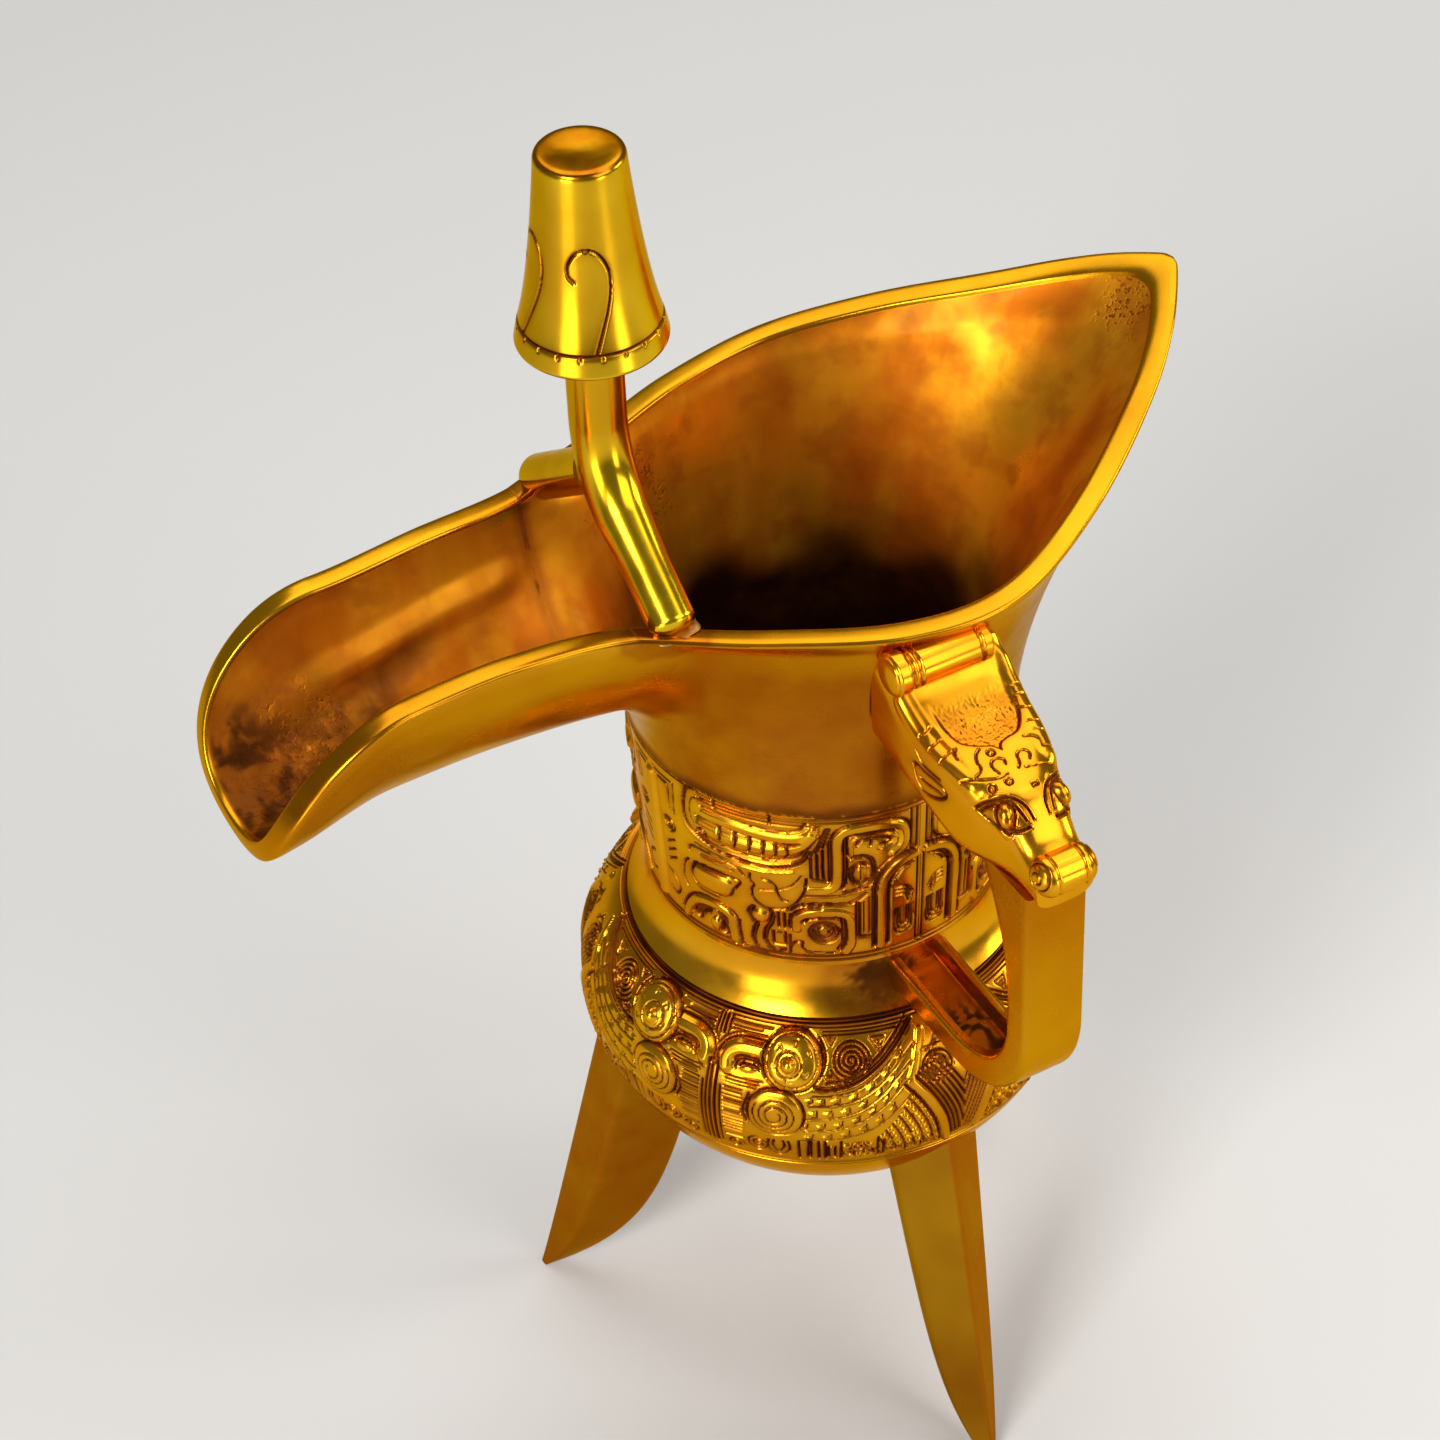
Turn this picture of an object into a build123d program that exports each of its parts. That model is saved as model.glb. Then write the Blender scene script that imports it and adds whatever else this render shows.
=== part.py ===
"""Gilt bronze jue: a cast three-legged wine vessel.

It has a spout, a pointed tail, a handle with a beast head and one capped post. The upright axis of
the neck is the body axis. Heights are measured up from the floor, and lengths along the vessel are
measured from the body axis, with the tail towards +X, the spout towards -X and the handle towards
-Y. Every casting is brazed to its neighbour.
"""

import os
from math import cos, exp, radians, sin, sqrt

from build123d import *

# Walls and joints
WALL = 3.6  # cast wall of the body, and the width of the ground rim
REBATE = 2.0  # height of the lip that centres one body casting in the next
BRAZE_GAP = 0.1  # gap that the brazing alloy fills round a lip or a stem
TOOTH = 1.0  # how far a shape runs past the cut that trims it

# Belly
BELLY_R = 38.1  # widest radius
BELLY_Z = 72.65  # height of the widest ring
BELLY_DROP = 31.7  # from the widest ring down to the round bottom
BELLY_CROWN = 24.3  # height of the half ellipse above the widest ring
SHOULDER_ANGLE = 36.0  # where on that ellipse the smooth shoulder starts
SHOULDER_RISE = 22.55  # from the widest ring up to the neck

# Neck
NECK_FOOT_R = 26.7
NECK_TOP_R = 28.3
NECK_HEIGHT = 30.6

# Mouth and tail
TAIL_REACH = 58.6  # tail tip from the body axis
TAIL_RISE = 53.2  # tail tip above the neck
TAIL_CURVE = 1.7  # power of the tail's outward sweep
MOUTH_HALF_WIDTH = 41.4  # half width that the flare would have at the height of the tail tip
MOUTH_CURVE = 1.4  # power of the flare at the sides
MOUTH_SHIFT = 9.0  # how far towards the tail the widest place has moved by then
BACK_REACH = 34.0  # reach of the flare under the spout by then
TAIL_LEAN = 13.4  # how far the two sides lean back at the tail tip, in degrees
TAIL_CREASE = 1.0  # the same lean at the neck, where the mould line fades out
TAIL_FULLNESS = 0.45  # handle of the section's curve at the tail, as a share of its length
SIDE_FULLNESS = 0.26  # and at the side
ROUND = 0.5523  # the same share on a circle
FLARE_SHARES = (0, 0.2, 0.4, 0.6, 0.8, 1.0, 1.2)  # shares of the tail's rise, on past the rim

# Rim, seen from the side, with its rises measured from the top of the neck
RIM_LOW_RISE = 36.3  # lowest place of the rim, beside the handle
RIM_LOW_X = -3.0
RIM_TAIL_RISE = 41.3  # half way up the climb to the tail
RIM_TAIL_X = 27.0
RIM_TAIL_SLOPE = 0.47  # climb of the rim at the tail tip
RIM_FORE_RISE = 40.4  # highest place of the rim along the spout
RIM_FORE_RUN = 17.0  # from the throat out to that place
RIM_END_FALL = 0.9  # how far the rim has fallen where the spout's end starts

# Spout
THROAT_X = -37.0  # where the trough starts to widen into the mouth
THROAT_HALF_WIDTH = 19.4
CHEEK_RUN = 15.0  # from the throat half way into the mouth
CHEEK_HALF_WIDTH = 26.9
JOIN_RUN = 28.0  # from the throat to where the trough has merged with the flare
JOIN_HALF_WIDTH = 32.8
SEAM_OUT = 1.0  # from the throat out to the joint of the spout and mouth castings
SPOUT_LENGTH = 53.65  # from the throat to the furthest point of the spout's end
SPOUT_DEPTH = 25.3  # from the highest rim down to the underside of the straight trough
SPOUT_HALF_WIDTH = 16.3  # half width of the straight trough
SPOUT_FLARE = 0.6  # how much wider each side is at the lip and at the highest rim
SPOUT_CORNER = 20.5  # length of the rounded corner from the rim to the end
LIP_DROP = 5.4  # how far the underside dips to the lip
LIP_RUN = 25.0  # length over which it dips
LIP_CURVE = 0.3  # share of the dip that is done half way along
LIP_BACK = 2.75  # how far the lip stands back from the furthest point
BEAK_RISE = 5.5  # furthest point above the lip
TROUGH_FULLNESS = 0.4  # handle of the trough's curve, as a share of its width and depth
FLOOR_FALL = 1.9  # how far the underside falls from the straight trough into the mouth

# Legs
FOOT_R = 48.5  # foot tips from the body axis
LEG_TOP_IN = 2.8  # outer ridge in from the belly's widest radius, where the leg meets it
LEG_TOP_DROP = 12.65  # that place below the widest ring
LEG_DEPTH = 17.6  # radial depth of the blade at its root
LEG_HALF_WIDTH = 8.2  # half thickness of the blade at its root
LEG_CURVE = 9.0  # height over which the blade narrows to its tip
FOOT_DEPTH = 2.4  # radial depth of the flat foot tip
FOOT_HALF_WIDTH = 1.1
RIDGE_SHARE = 0.3  # place of the side edges, as a share of the depth from the outer ridge
LEG_BACK_SHARE = 0.25  # width of the inner edge, as a share of the blade's width
HANDLE_LEG_ANGLE = -90.0  # the leg under the handle, about the body axis

# Beast head
HEAD_DROP = 6.5  # top of the head at the wall, below the lowest rim
HEAD_ROOT_HALF = 9.4  # half width at the wall
NOSE_REACH = 63.6  # axis of the nose roll from the body axis
NOSE_DROP = 8.7  # that axis below the brow
NOSE_R = 2.9
NOSE_HALF = 5.8
MUZZLE_HALF = 4.7
BROW_BACK = 12.6  # brow back from the nose
BROW_DROP = 5.9  # brow below the head's root
BROW_HALF = 6.6
BRIDGE_BACK = 5.1  # bend in the bridge of the nose, back from the nose
BRIDGE_DROP = 1.1  # and below the brow
JAW_DROP = 5.4  # flat underside of the muzzle below the nose's axis
JAW_MARGIN = 1.8  # how far that flat runs on behind the strap
THROAT_RISE = 8.4  # underside of the head at the wall, above the jaw
ROLL_OUT = 1.1  # axis of the roll at the head's root, out from the wall
ROLL_DROP = 0.2  # and below the head's root
ROLL_R = 3.0
ROLL_HALF = 10.0

# Handle loop
STRAP_WIDTH = 9.6
STRAP_THICK = 5.0
STRAP_SETBACK = 1.2  # outer face behind the axis of the nose roll
ARM_DROP = 5.6  # underside of the lower arm below the neck
LOOP_CORNER = 19.3  # outer radius of the lower corner
STRAP_STRAIGHT = 4.1  # upright stretch of the inner face above that corner
ARCH_IN = 6.6  # how far the inner face arches in from there up to the head
CHANNEL_WIDTH = 5.8  # groove along the top of the lower arm
CHANNEL_DEPTH = 3.0

# Post
POST_IN = 4.45  # from the throat in to the post
STEM_R = 3.9
FORK_R = 3.3
FORK_RISE = 15.05  # from the rim up to where the two fork legs meet the stem
STEM_RISE = 21.9  # from there up to the cap
SADDLE = 1.2  # how far a fork foot reaches down inside the rim
FOOT_MARGIN = 0.6  # how far the foot stands in from the rim's outer edge
CAP_HEIGHT = 28.5
CAP_R = 10.15
CAP_BAND = 2.6  # upright band round the foot of the cap
CAP_WAIST_R = 9.7  # radius above that band
CAP_BELL_R = 7.6  # radius that the bell's curve is drawn in to
CAP_BELL_RISE = 9.5  # and the height of that place
CAP_TOP_R = 5.7
CAP_BEVEL = 0.7
SOCKET_DEPTH = 16.0

# Heights that follow from the sizes above
NECK_FOOT_Z = BELLY_Z + SHOULDER_RISE
NECK_TOP_Z = NECK_FOOT_Z + NECK_HEIGHT
TAIL_Z = NECK_TOP_Z + TAIL_RISE
RIM_LOW_Z = NECK_TOP_Z + RIM_LOW_RISE
RIM_TAIL_Z = NECK_TOP_Z + RIM_TAIL_RISE
RIM_FORE_Z = NECK_TOP_Z + RIM_FORE_RISE
RIM_END_Z = RIM_FORE_Z - RIM_END_FALL
SPOUT_FLOOR_Z = RIM_FORE_Z - SPOUT_DEPTH
LIP_Z = SPOUT_FLOOR_Z - LIP_DROP
BEAK_Z = LIP_Z + BEAK_RISE
LEG_TOP_Z = BELLY_Z - LEG_TOP_DROP
HEAD_ROOT_Z = RIM_LOW_Z - HEAD_DROP
ROLL_Z = HEAD_ROOT_Z - ROLL_DROP
BROW_Z = HEAD_ROOT_Z - BROW_DROP
BRIDGE_Z = BROW_Z - BRIDGE_DROP
NOSE_Z = BROW_Z - NOSE_DROP
JAW_Z = NOSE_Z - JAW_DROP
THROAT_Z = JAW_Z + THROAT_RISE
ARM_Z = NECK_FOOT_Z - ARM_DROP
ARCH_Z = ARM_Z + LOOP_CORNER + STRAP_STRAIGHT
RIM_POST_Z = (RIM_LOW_Z + RIM_FORE_Z) / 2
FORK_Z = RIM_POST_Z + FORK_RISE
CAP_Z = FORK_Z + STEM_RISE
CAP_TOP_Z = CAP_Z + CAP_HEIGHT

# Lengths that follow from the sizes above
HALF_WALL = WALL / 2
SPOUT_REACH = SPOUT_LENGTH - THROAT_X
SPOUT_CORNER_X = SPOUT_CORNER - SPOUT_REACH
SPOUT_SEAM_X = THROAT_X - SEAM_OUT
RIM_FORE_X = THROAT_X - RIM_FORE_RUN
CHEEK_X = THROAT_X + CHEEK_RUN
JOIN_X = THROAT_X + JOIN_RUN
LEG_TOP_R = BELLY_R - LEG_TOP_IN
BROW_REACH = NOSE_REACH - BROW_BACK
BRIDGE_REACH = NOSE_REACH - BRIDGE_BACK
HEAD_FRONT = NOSE_REACH + NOSE_R
ROLL_SHARE = ((ROLL_Z - NECK_TOP_Z) / TAIL_RISE) ** MOUTH_CURVE
ROLL_REACH = NECK_TOP_R + (MOUTH_HALF_WIDTH - NECK_TOP_R) * ROLL_SHARE + ROLL_OUT
STRAP_FACE = NOSE_REACH - STRAP_SETBACK
JAW_REACH = STRAP_FACE - STRAP_THICK - ARCH_IN - JAW_MARGIN
POST_X = THROAT_X + POST_IN
RIM_POST_HALF = THROAT_HALF_WIDTH + (CHEEK_HALF_WIDTH - THROAT_HALF_WIDTH) * POST_IN / CHEEK_RUN
FORK_SPREAD = RIM_POST_HALF - HALF_WALL
FORK_LENGTH = sqrt(FORK_SPREAD**2 + FORK_RISE**2)

# The body axis stands so that the whole vessel's box is centred on the origin
BODY_X = (SPOUT_REACH - TAIL_REACH) / 2
BODY_Y = (HEAD_FRONT - BELLY_R) / 2
FLOOR = Plane(origin=(BODY_X, BODY_Y, 0), x_dir=(1, 0, 0), z_dir=(0, 0, 1))
LONG = Plane(origin=(BODY_X, BODY_Y, 0), x_dir=(1, 0, 0), z_dir=(0, -1, 0))
CROSS = Plane(origin=(BODY_X, BODY_Y, 0), x_dir=(0, 1, 0), z_dir=(1, 0, 0))
BODY_AXIS = Axis((BODY_X, BODY_Y, 0), (0, 0, 1))


def belly_outline(inset):
    """Half outline of the belly and shoulder, shrunk by inset: two ellipse arcs and a hollow arc."""
    low = EllipticalCenterArc((0, BELLY_Z), BELLY_R - inset, BELLY_DROP - inset, -90, arc_size=90)
    high = EllipticalCenterArc(
        (0, BELLY_Z), BELLY_R - inset, BELLY_CROWN - inset, 0, arc_size=SHOULDER_ANGLE
    )
    shoulder = TangentArc(high @ 1, (NECK_FOOT_R - inset, NECK_FOOT_Z), tangent=high % 1)
    Line(shoulder @ 1, (0, NECK_FOOT_Z))
    Line((0, NECK_FOOT_Z), low @ 0)


def flare_section(rise, inset):
    """Egg-shaped section of the flare at a share of the tail's rise, drawn out towards the tail."""
    tail = NECK_TOP_R + (TAIL_REACH - NECK_TOP_R) * rise**TAIL_CURVE - inset
    side = NECK_TOP_R + (MOUTH_HALF_WIDTH - NECK_TOP_R) * rise**MOUTH_CURVE - inset
    back = -(NECK_TOP_R + (BACK_REACH - NECK_TOP_R) * rise) + inset
    middle = MOUTH_SHIFT * rise
    tail_handle = (ROUND + (TAIL_FULLNESS - ROUND) * rise) * (tail - middle)
    side_handle = (ROUND + (SIDE_FULLNESS - ROUND) * rise) * (tail - middle)
    back_handle = ROUND * (middle - back)
    lean = radians(TAIL_CREASE + (TAIL_LEAN - TAIL_CREASE) * rise)
    swept = tail - tail_handle * sin(lean)
    spread = tail_handle * cos(lean)
    with BuildSketch(FLOOR.offset(NECK_TOP_Z + rise * TAIL_RISE)) as section:
        with BuildLine():
            Bezier((tail, 0), (swept, spread), (middle + side_handle, side), (middle, side))
            Bezier((middle, side), (middle - back_handle, side), (back, ROUND * side), (back, 0))
            Bezier((back, 0), (back, -ROUND * side), (middle - back_handle, -side), (middle, -side))
            Bezier((middle, -side), (middle + side_handle, -side), (swept, -spread), (tail, 0))
        make_face()
    return section.sketch


def spout_section(reach, half_width, floor_z, inset):
    """Section of the trough at a distance along the vessel: upright sides and a rounded keel."""
    half = half_width - inset
    keel = floor_z + inset
    depth = RIM_FORE_Z - keel
    top = TAIL_Z
    with BuildSketch(CROSS.offset(reach)) as section:
        with BuildLine():
            Line((-half, top), (-half, RIM_FORE_Z))
            Bezier(
                (-half, RIM_FORE_Z),
                (-half, RIM_FORE_Z - TROUGH_FULLNESS * depth),
                (-TROUGH_FULLNESS * half, keel),
                (0, keel),
            )
            Bezier(
                (0, keel),
                (TROUGH_FULLNESS * half, keel),
                (half, RIM_FORE_Z - TROUGH_FULLNESS * depth),
                (half, RIM_FORE_Z),
            )
            Line((half, RIM_FORE_Z), (half, top))
            Line((half, top), (-half, top))
        make_face()
    return section.sketch


def flare_sections(inset):
    """Sections of the flare, run on past the rim so that the rim can be cut from it."""
    return [flare_section(rise, inset) for rise in FLARE_SHARES]


def trough_sections(inset):
    """Sections of the trough from past the lip to inside the mouth, widening into the flare."""
    end = -SPOUT_REACH - TOOTH
    lip_half = SPOUT_HALF_WIDTH + SPOUT_FLARE
    dip_half = SPOUT_FLOOR_Z - LIP_DROP * LIP_CURVE
    return [
        spout_section(end, lip_half, LIP_Z - TOOTH, inset),
        spout_section(end + LIP_RUN / 2, lip_half, dip_half, inset),
        spout_section(end + LIP_RUN, SPOUT_HALF_WIDTH, SPOUT_FLOOR_Z, inset),
        spout_section(RIM_FORE_X, SPOUT_HALF_WIDTH + SPOUT_FLARE, SPOUT_FLOOR_Z, inset),
        spout_section(THROAT_X, THROAT_HALF_WIDTH, SPOUT_FLOOR_Z - FLOOR_FALL / 2, inset),
        spout_section(CHEEK_X, CHEEK_HALF_WIDTH, SPOUT_FLOOR_Z - FLOOR_FALL, inset),
        spout_section(JOIN_X, JOIN_HALF_WIDTH, SPOUT_FLOOR_Z - FLOOR_FALL, inset),
    ]


def rim_side_view():
    """Everything below the rim and behind the spout's end, seen from the side."""
    with BuildSketch(LONG) as view:
        with BuildLine():
            beyond = TAIL_REACH + TAIL_RISE
            beyond_z = TAIL_Z + TAIL_RISE * RIM_TAIL_SLOPE
            end_slope = 2 * RIM_END_FALL / SPOUT_CORNER
            corner_x = SPOUT_CORNER_X - SPOUT_CORNER / 2
            Line((beyond, 0), (beyond, beyond_z))
            Line((beyond, beyond_z), (TAIL_REACH, TAIL_Z))
            Spline(
                (TAIL_REACH, TAIL_Z),
                (RIM_TAIL_X, RIM_TAIL_Z),
                (RIM_LOW_X, RIM_LOW_Z),
                (RIM_FORE_X, RIM_FORE_Z),
                (SPOUT_CORNER_X, RIM_END_Z),
                tangents=((-1, -RIM_TAIL_SLOPE), (-1, -end_slope)),
            )
            Bezier(
                (SPOUT_CORNER_X, RIM_END_Z),
                (corner_x, RIM_END_Z - end_slope * SPOUT_CORNER / 2),
                (-SPOUT_REACH, (BEAK_Z + RIM_END_Z) / 2),
                (-SPOUT_REACH, BEAK_Z),
            )
            Bezier(
                (-SPOUT_REACH, BEAK_Z),
                (-SPOUT_REACH, (BEAK_Z + LIP_Z) / 2),
                (LIP_BACK - SPOUT_REACH, LIP_Z),
            )
            Line((LIP_BACK - SPOUT_REACH, LIP_Z), (LIP_BACK - SPOUT_REACH, 0))
            Line((LIP_BACK - SPOUT_REACH, 0), (beyond, 0))
        make_face()
    return view.sketch


# Belly: the full outer form first, which also trims the legs and the handle
with BuildPart() as belly_form:
    with BuildSketch(LONG):
        with BuildLine():
            belly_outline(0)
        make_face()
    revolve(axis=BODY_AXIS)

with BuildPart() as belly_hollow:
    with BuildSketch(LONG):
        with BuildLine():
            belly_outline(WALL)
        make_face()
    revolve(axis=BODY_AXIS)

with BuildPart() as belly:
    add(belly_form.part)
    add(belly_hollow.part, mode=Mode.SUBTRACT)
    with BuildSketch(FLOOR.offset(NECK_FOOT_Z)):
        Circle(NECK_FOOT_R - HALF_WALL)
        Circle(NECK_FOOT_R - WALL, mode=Mode.SUBTRACT)
    extrude(amount=REBATE)

# Neck: a tapered ring, rebated below for the belly's lip and lipped above for the mouth
with BuildPart() as neck_form:
    with BuildSketch(LONG):
        Polygon(
            (0, NECK_FOOT_Z),
            (NECK_FOOT_R, NECK_FOOT_Z),
            (NECK_TOP_R, NECK_TOP_Z),
            (0, NECK_TOP_Z),
            align=None,
        )
    revolve(axis=BODY_AXIS)

with BuildPart() as neck:
    add(neck_form.part)
    with BuildSketch(LONG):
        Polygon(
            (0, NECK_FOOT_Z),
            (NECK_FOOT_R - WALL, NECK_FOOT_Z),
            (NECK_TOP_R - WALL, NECK_TOP_Z),
            (0, NECK_TOP_Z),
            align=None,
        )
    revolve(axis=BODY_AXIS, mode=Mode.SUBTRACT)
    with BuildSketch(FLOOR.offset(NECK_FOOT_Z)):
        Circle(NECK_FOOT_R - HALF_WALL + BRAZE_GAP)
    extrude(amount=REBATE + BRAZE_GAP, mode=Mode.SUBTRACT)
    with BuildSketch(FLOOR.offset(NECK_TOP_Z)):
        Circle(NECK_TOP_R - HALF_WALL)
        Circle(NECK_TOP_R - WALL, mode=Mode.SUBTRACT)
    extrude(amount=REBATE)

# Mouth and spout: flare and trough joined, hollowed, cut to the rim and parted at the seam
with BuildPart() as upper_form:
    loft(flare_sections(0))
    loft(trough_sections(0))

with BuildPart() as upper_hollow:
    loft(flare_sections(WALL))
    loft(trough_sections(WALL))

with BuildPart() as rim_cut:
    extrude(rim_side_view(), amount=BELLY_R + TAIL_REACH, both=True)

with BuildPart() as upper_body:
    add(upper_form.part)
    add(upper_hollow.part, mode=Mode.SUBTRACT)
    add(rim_cut.part, mode=Mode.INTERSECT)

with BuildPart() as mouth:
    add(upper_body.part)
    split(bisect_by=CROSS.offset(SPOUT_SEAM_X), keep=Keep.TOP)
    with BuildSketch(FLOOR.offset(NECK_TOP_Z)):
        Circle(NECK_TOP_R - HALF_WALL + BRAZE_GAP)
    extrude(amount=REBATE + BRAZE_GAP, mode=Mode.SUBTRACT)

with BuildPart() as spout:
    add(upper_body.part)
    split(bisect_by=CROSS.offset(SPOUT_SEAM_X), keep=Keep.BOTTOM)


def leg_section(angle, height):
    """Kite-shaped section of a leg: a ridge outside, two side edges and a narrow back."""
    climb = height / LEG_TOP_Z
    narrowing = 1 - exp(-height / LEG_CURVE)
    ridge = FOOT_R + (LEG_TOP_R - FOOT_R) * climb
    depth = FOOT_DEPTH + (LEG_DEPTH - FOOT_DEPTH) * narrowing
    half = FOOT_HALF_WIDTH + (LEG_HALF_WIDTH - FOOT_HALF_WIDTH) * (narrowing + climb) / 2
    side = ridge - RIDGE_SHARE * depth
    back = ridge - depth
    back_half = LEG_BACK_SHARE * half
    turned = Plane(
        origin=(BODY_X, BODY_Y, height),
        x_dir=(cos(radians(angle)), sin(radians(angle)), 0),
        z_dir=(0, 0, 1),
    )
    with BuildSketch(turned) as section:
        Polygon(
            (ridge, 0),
            (side, half),
            (back, back_half),
            (back, -back_half),
            (side, -half),
            align=None,
        )
    return section.sketch


LEG_HEIGHTS = (0, LEG_CURVE / 2, LEG_CURVE, 2 * LEG_CURVE, 4 * LEG_CURVE, BELLY_Z)
LEG_NAMES = ("leg_handle_side", "leg_tail_side", "leg_spout_side")
legs = []
for number, leg_name in enumerate(LEG_NAMES):
    with BuildPart() as leg:
        angle = HANDLE_LEG_ANGLE + number * 360 / len(LEG_NAMES)
        loft([leg_section(angle, height) for height in LEG_HEIGHTS])
        add(belly_form.part, mode=Mode.SUBTRACT)
    leg.part.label = leg_name
    legs.append(leg.part)

# Beast head: side view crossed with plan view, with a roll at the root and one at the nose
with BuildPart() as handle_head:
    with BuildSketch(CROSS):
        with BuildLine():
            Bezier((-NECK_TOP_R, HEAD_ROOT_Z), (-ROLL_REACH, BROW_Z + ROLL_R), (-BROW_REACH, BROW_Z))
            Bezier((-BROW_REACH, BROW_Z), (-BRIDGE_REACH, BRIDGE_Z), (-NOSE_REACH, NOSE_Z + NOSE_R))
            Line((-NOSE_REACH, NOSE_Z + NOSE_R), (-NOSE_REACH, JAW_Z))
            Line((-NOSE_REACH, JAW_Z), (-JAW_REACH, JAW_Z))
            Line((-JAW_REACH, JAW_Z), (-NECK_TOP_R, THROAT_Z))
            Line((-NECK_TOP_R, THROAT_Z), (-NECK_TOP_R, HEAD_ROOT_Z))
        make_face()
    extrude(amount=HEAD_ROOT_HALF, both=True)
    with BuildSketch(FLOOR.offset(JAW_Z)):
        with BuildLine():
            cheek = Spline(
                (HEAD_ROOT_HALF, -NECK_TOP_R),
                (BROW_HALF, -BROW_REACH),
                (MUZZLE_HALF, -NOSE_REACH),
                tangents=((0, -1), (0, -1)),
            )
            Line(cheek @ 1, (0, -NOSE_REACH))
            Line((0, -NECK_TOP_R), cheek @ 0)
            mirror(about=Plane.YZ)
        make_face()
    extrude(amount=TAIL_RISE, mode=Mode.INTERSECT)
    with BuildSketch(CROSS):
        with Locations((-NOSE_REACH, NOSE_Z)):
            Circle(NOSE_R)
    extrude(amount=NOSE_HALF, both=True)
    with BuildSketch(CROSS):
        with Locations((-ROLL_REACH, ROLL_Z)):
            Circle(ROLL_R)
    extrude(amount=ROLL_HALF, both=True)
    add(upper_form.part, mode=Mode.SUBTRACT)

# Handle loop: a strap down from the muzzle and an arm back to the neck, channelled along its top
with BuildPart() as handle_loop:
    face = -STRAP_FACE
    inner = STRAP_THICK - STRAP_FACE
    arm_top = ARM_Z + STRAP_THICK
    bend = LOOP_CORNER - STRAP_THICK
    with BuildSketch(CROSS):
        with BuildLine():
            Line((0, ARM_Z), (face + LOOP_CORNER, ARM_Z))
            RadiusArc((face + LOOP_CORNER, ARM_Z), (face, ARM_Z + LOOP_CORNER), LOOP_CORNER)
            Line((face, ARM_Z + LOOP_CORNER), (face, JAW_Z))
            Line((face, JAW_Z), (inner + ARCH_IN, JAW_Z))
            TangentArc((inner, ARCH_Z), (inner + ARCH_IN, JAW_Z), tangent=(0, 1))
            Line((inner, ARCH_Z), (inner, arm_top + bend))
            RadiusArc((inner + bend, arm_top), (inner, arm_top + bend), bend)
            Line((inner + bend, arm_top), (0, arm_top))
            Line((0, arm_top), (0, ARM_Z))
        make_face()
    extrude(amount=STRAP_WIDTH / 2, both=True)
    channel_end = inner + STRAP_THICK + CHANNEL_WIDTH / 2
    with BuildSketch(FLOOR.offset(arm_top - CHANNEL_DEPTH)):
        with Locations((0, channel_end)):
            Circle(CHANNEL_WIDTH / 2)
        with Locations((0, channel_end / 2)):
            Rectangle(CHANNEL_WIDTH, -channel_end)
    extrude(amount=CHANNEL_DEPTH + LOOP_CORNER / 2, mode=Mode.SUBTRACT)
    add(belly_form.part, mode=Mode.SUBTRACT)
    add(neck_form.part, mode=Mode.SUBTRACT)


def fork_leg(side):
    """A round leg from the fork down to the rim on one side, cut level and flush with the rim's edge."""
    start = (BODY_X + POST_X, BODY_Y, FORK_Z)
    slope = Plane(origin=start, x_dir=(1, 0, 0), z_dir=(0, side * FORK_SPREAD, -FORK_RISE))
    with BuildSketch(slope) as rod:
        Circle(FORK_R)
    extrude(rod.sketch, amount=FORK_LENGTH + 4 * FORK_R)
    split(bisect_by=FLOOR.offset(RIM_POST_Z - SADDLE), keep=Keep.TOP)
    edge = BODY_Y + side * (RIM_POST_HALF - FOOT_MARGIN)
    split(bisect_by=Plane(origin=(BODY_X, edge, 0), z_dir=(0, -side, 0)), keep=Keep.TOP)
    add(upper_body.part, mode=Mode.SUBTRACT)


# Post: the stem and near leg are one bent rod, the far leg is let in, and the cap sits on the stem
with BuildPart() as post_rod:
    fork_leg(-1)
    with Locations((BODY_X + POST_X, BODY_Y, FORK_Z)):
        Sphere(STEM_R)
    with BuildSketch(FLOOR.offset(FORK_Z)):
        with Locations((POST_X, 0)):
            Circle(STEM_R)
    extrude(amount=CAP_Z + SOCKET_DEPTH - FORK_Z)

with BuildPart() as post_far_leg:
    fork_leg(1)
    add(post_rod.part, mode=Mode.SUBTRACT)

with BuildPart() as post_cap:
    with BuildSketch(LONG):
        with BuildLine():
            band_top = CAP_Z + CAP_BAND
            shoulder_z = CAP_TOP_Z - CAP_BEVEL
            Line((POST_X, CAP_Z), (POST_X + CAP_R, CAP_Z))
            Line((POST_X + CAP_R, CAP_Z), (POST_X + CAP_WAIST_R, band_top))
            Bezier(
                (POST_X + CAP_WAIST_R, band_top),
                (POST_X + CAP_BELL_R, CAP_Z + CAP_BELL_RISE),
                (POST_X + CAP_TOP_R, shoulder_z),
            )
            Line((POST_X + CAP_TOP_R, shoulder_z), (POST_X + CAP_TOP_R - CAP_BEVEL, CAP_TOP_Z))
            Line((POST_X + CAP_TOP_R - CAP_BEVEL, CAP_TOP_Z), (POST_X, CAP_TOP_Z))
            Line((POST_X, CAP_TOP_Z), (POST_X, CAP_Z))
        make_face()
    revolve(axis=Axis((BODY_X + POST_X, BODY_Y, 0), (0, 0, 1)))
    with BuildSketch(FLOOR.offset(CAP_Z)):
        with Locations((POST_X, 0)):
            Circle(STEM_R + BRAZE_GAP)
    extrude(amount=SOCKET_DEPTH, mode=Mode.SUBTRACT)

belly.part.label = "belly"
neck.part.label = "neck"
mouth.part.label = "mouth"
spout.part.label = "spout"
handle_head.part.label = "handle_head"
handle_loop.part.label = "handle_loop"
post_rod.part.label = "post_rod"
post_far_leg.part.label = "post_far_leg"
post_cap.part.label = "post_cap"

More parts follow.
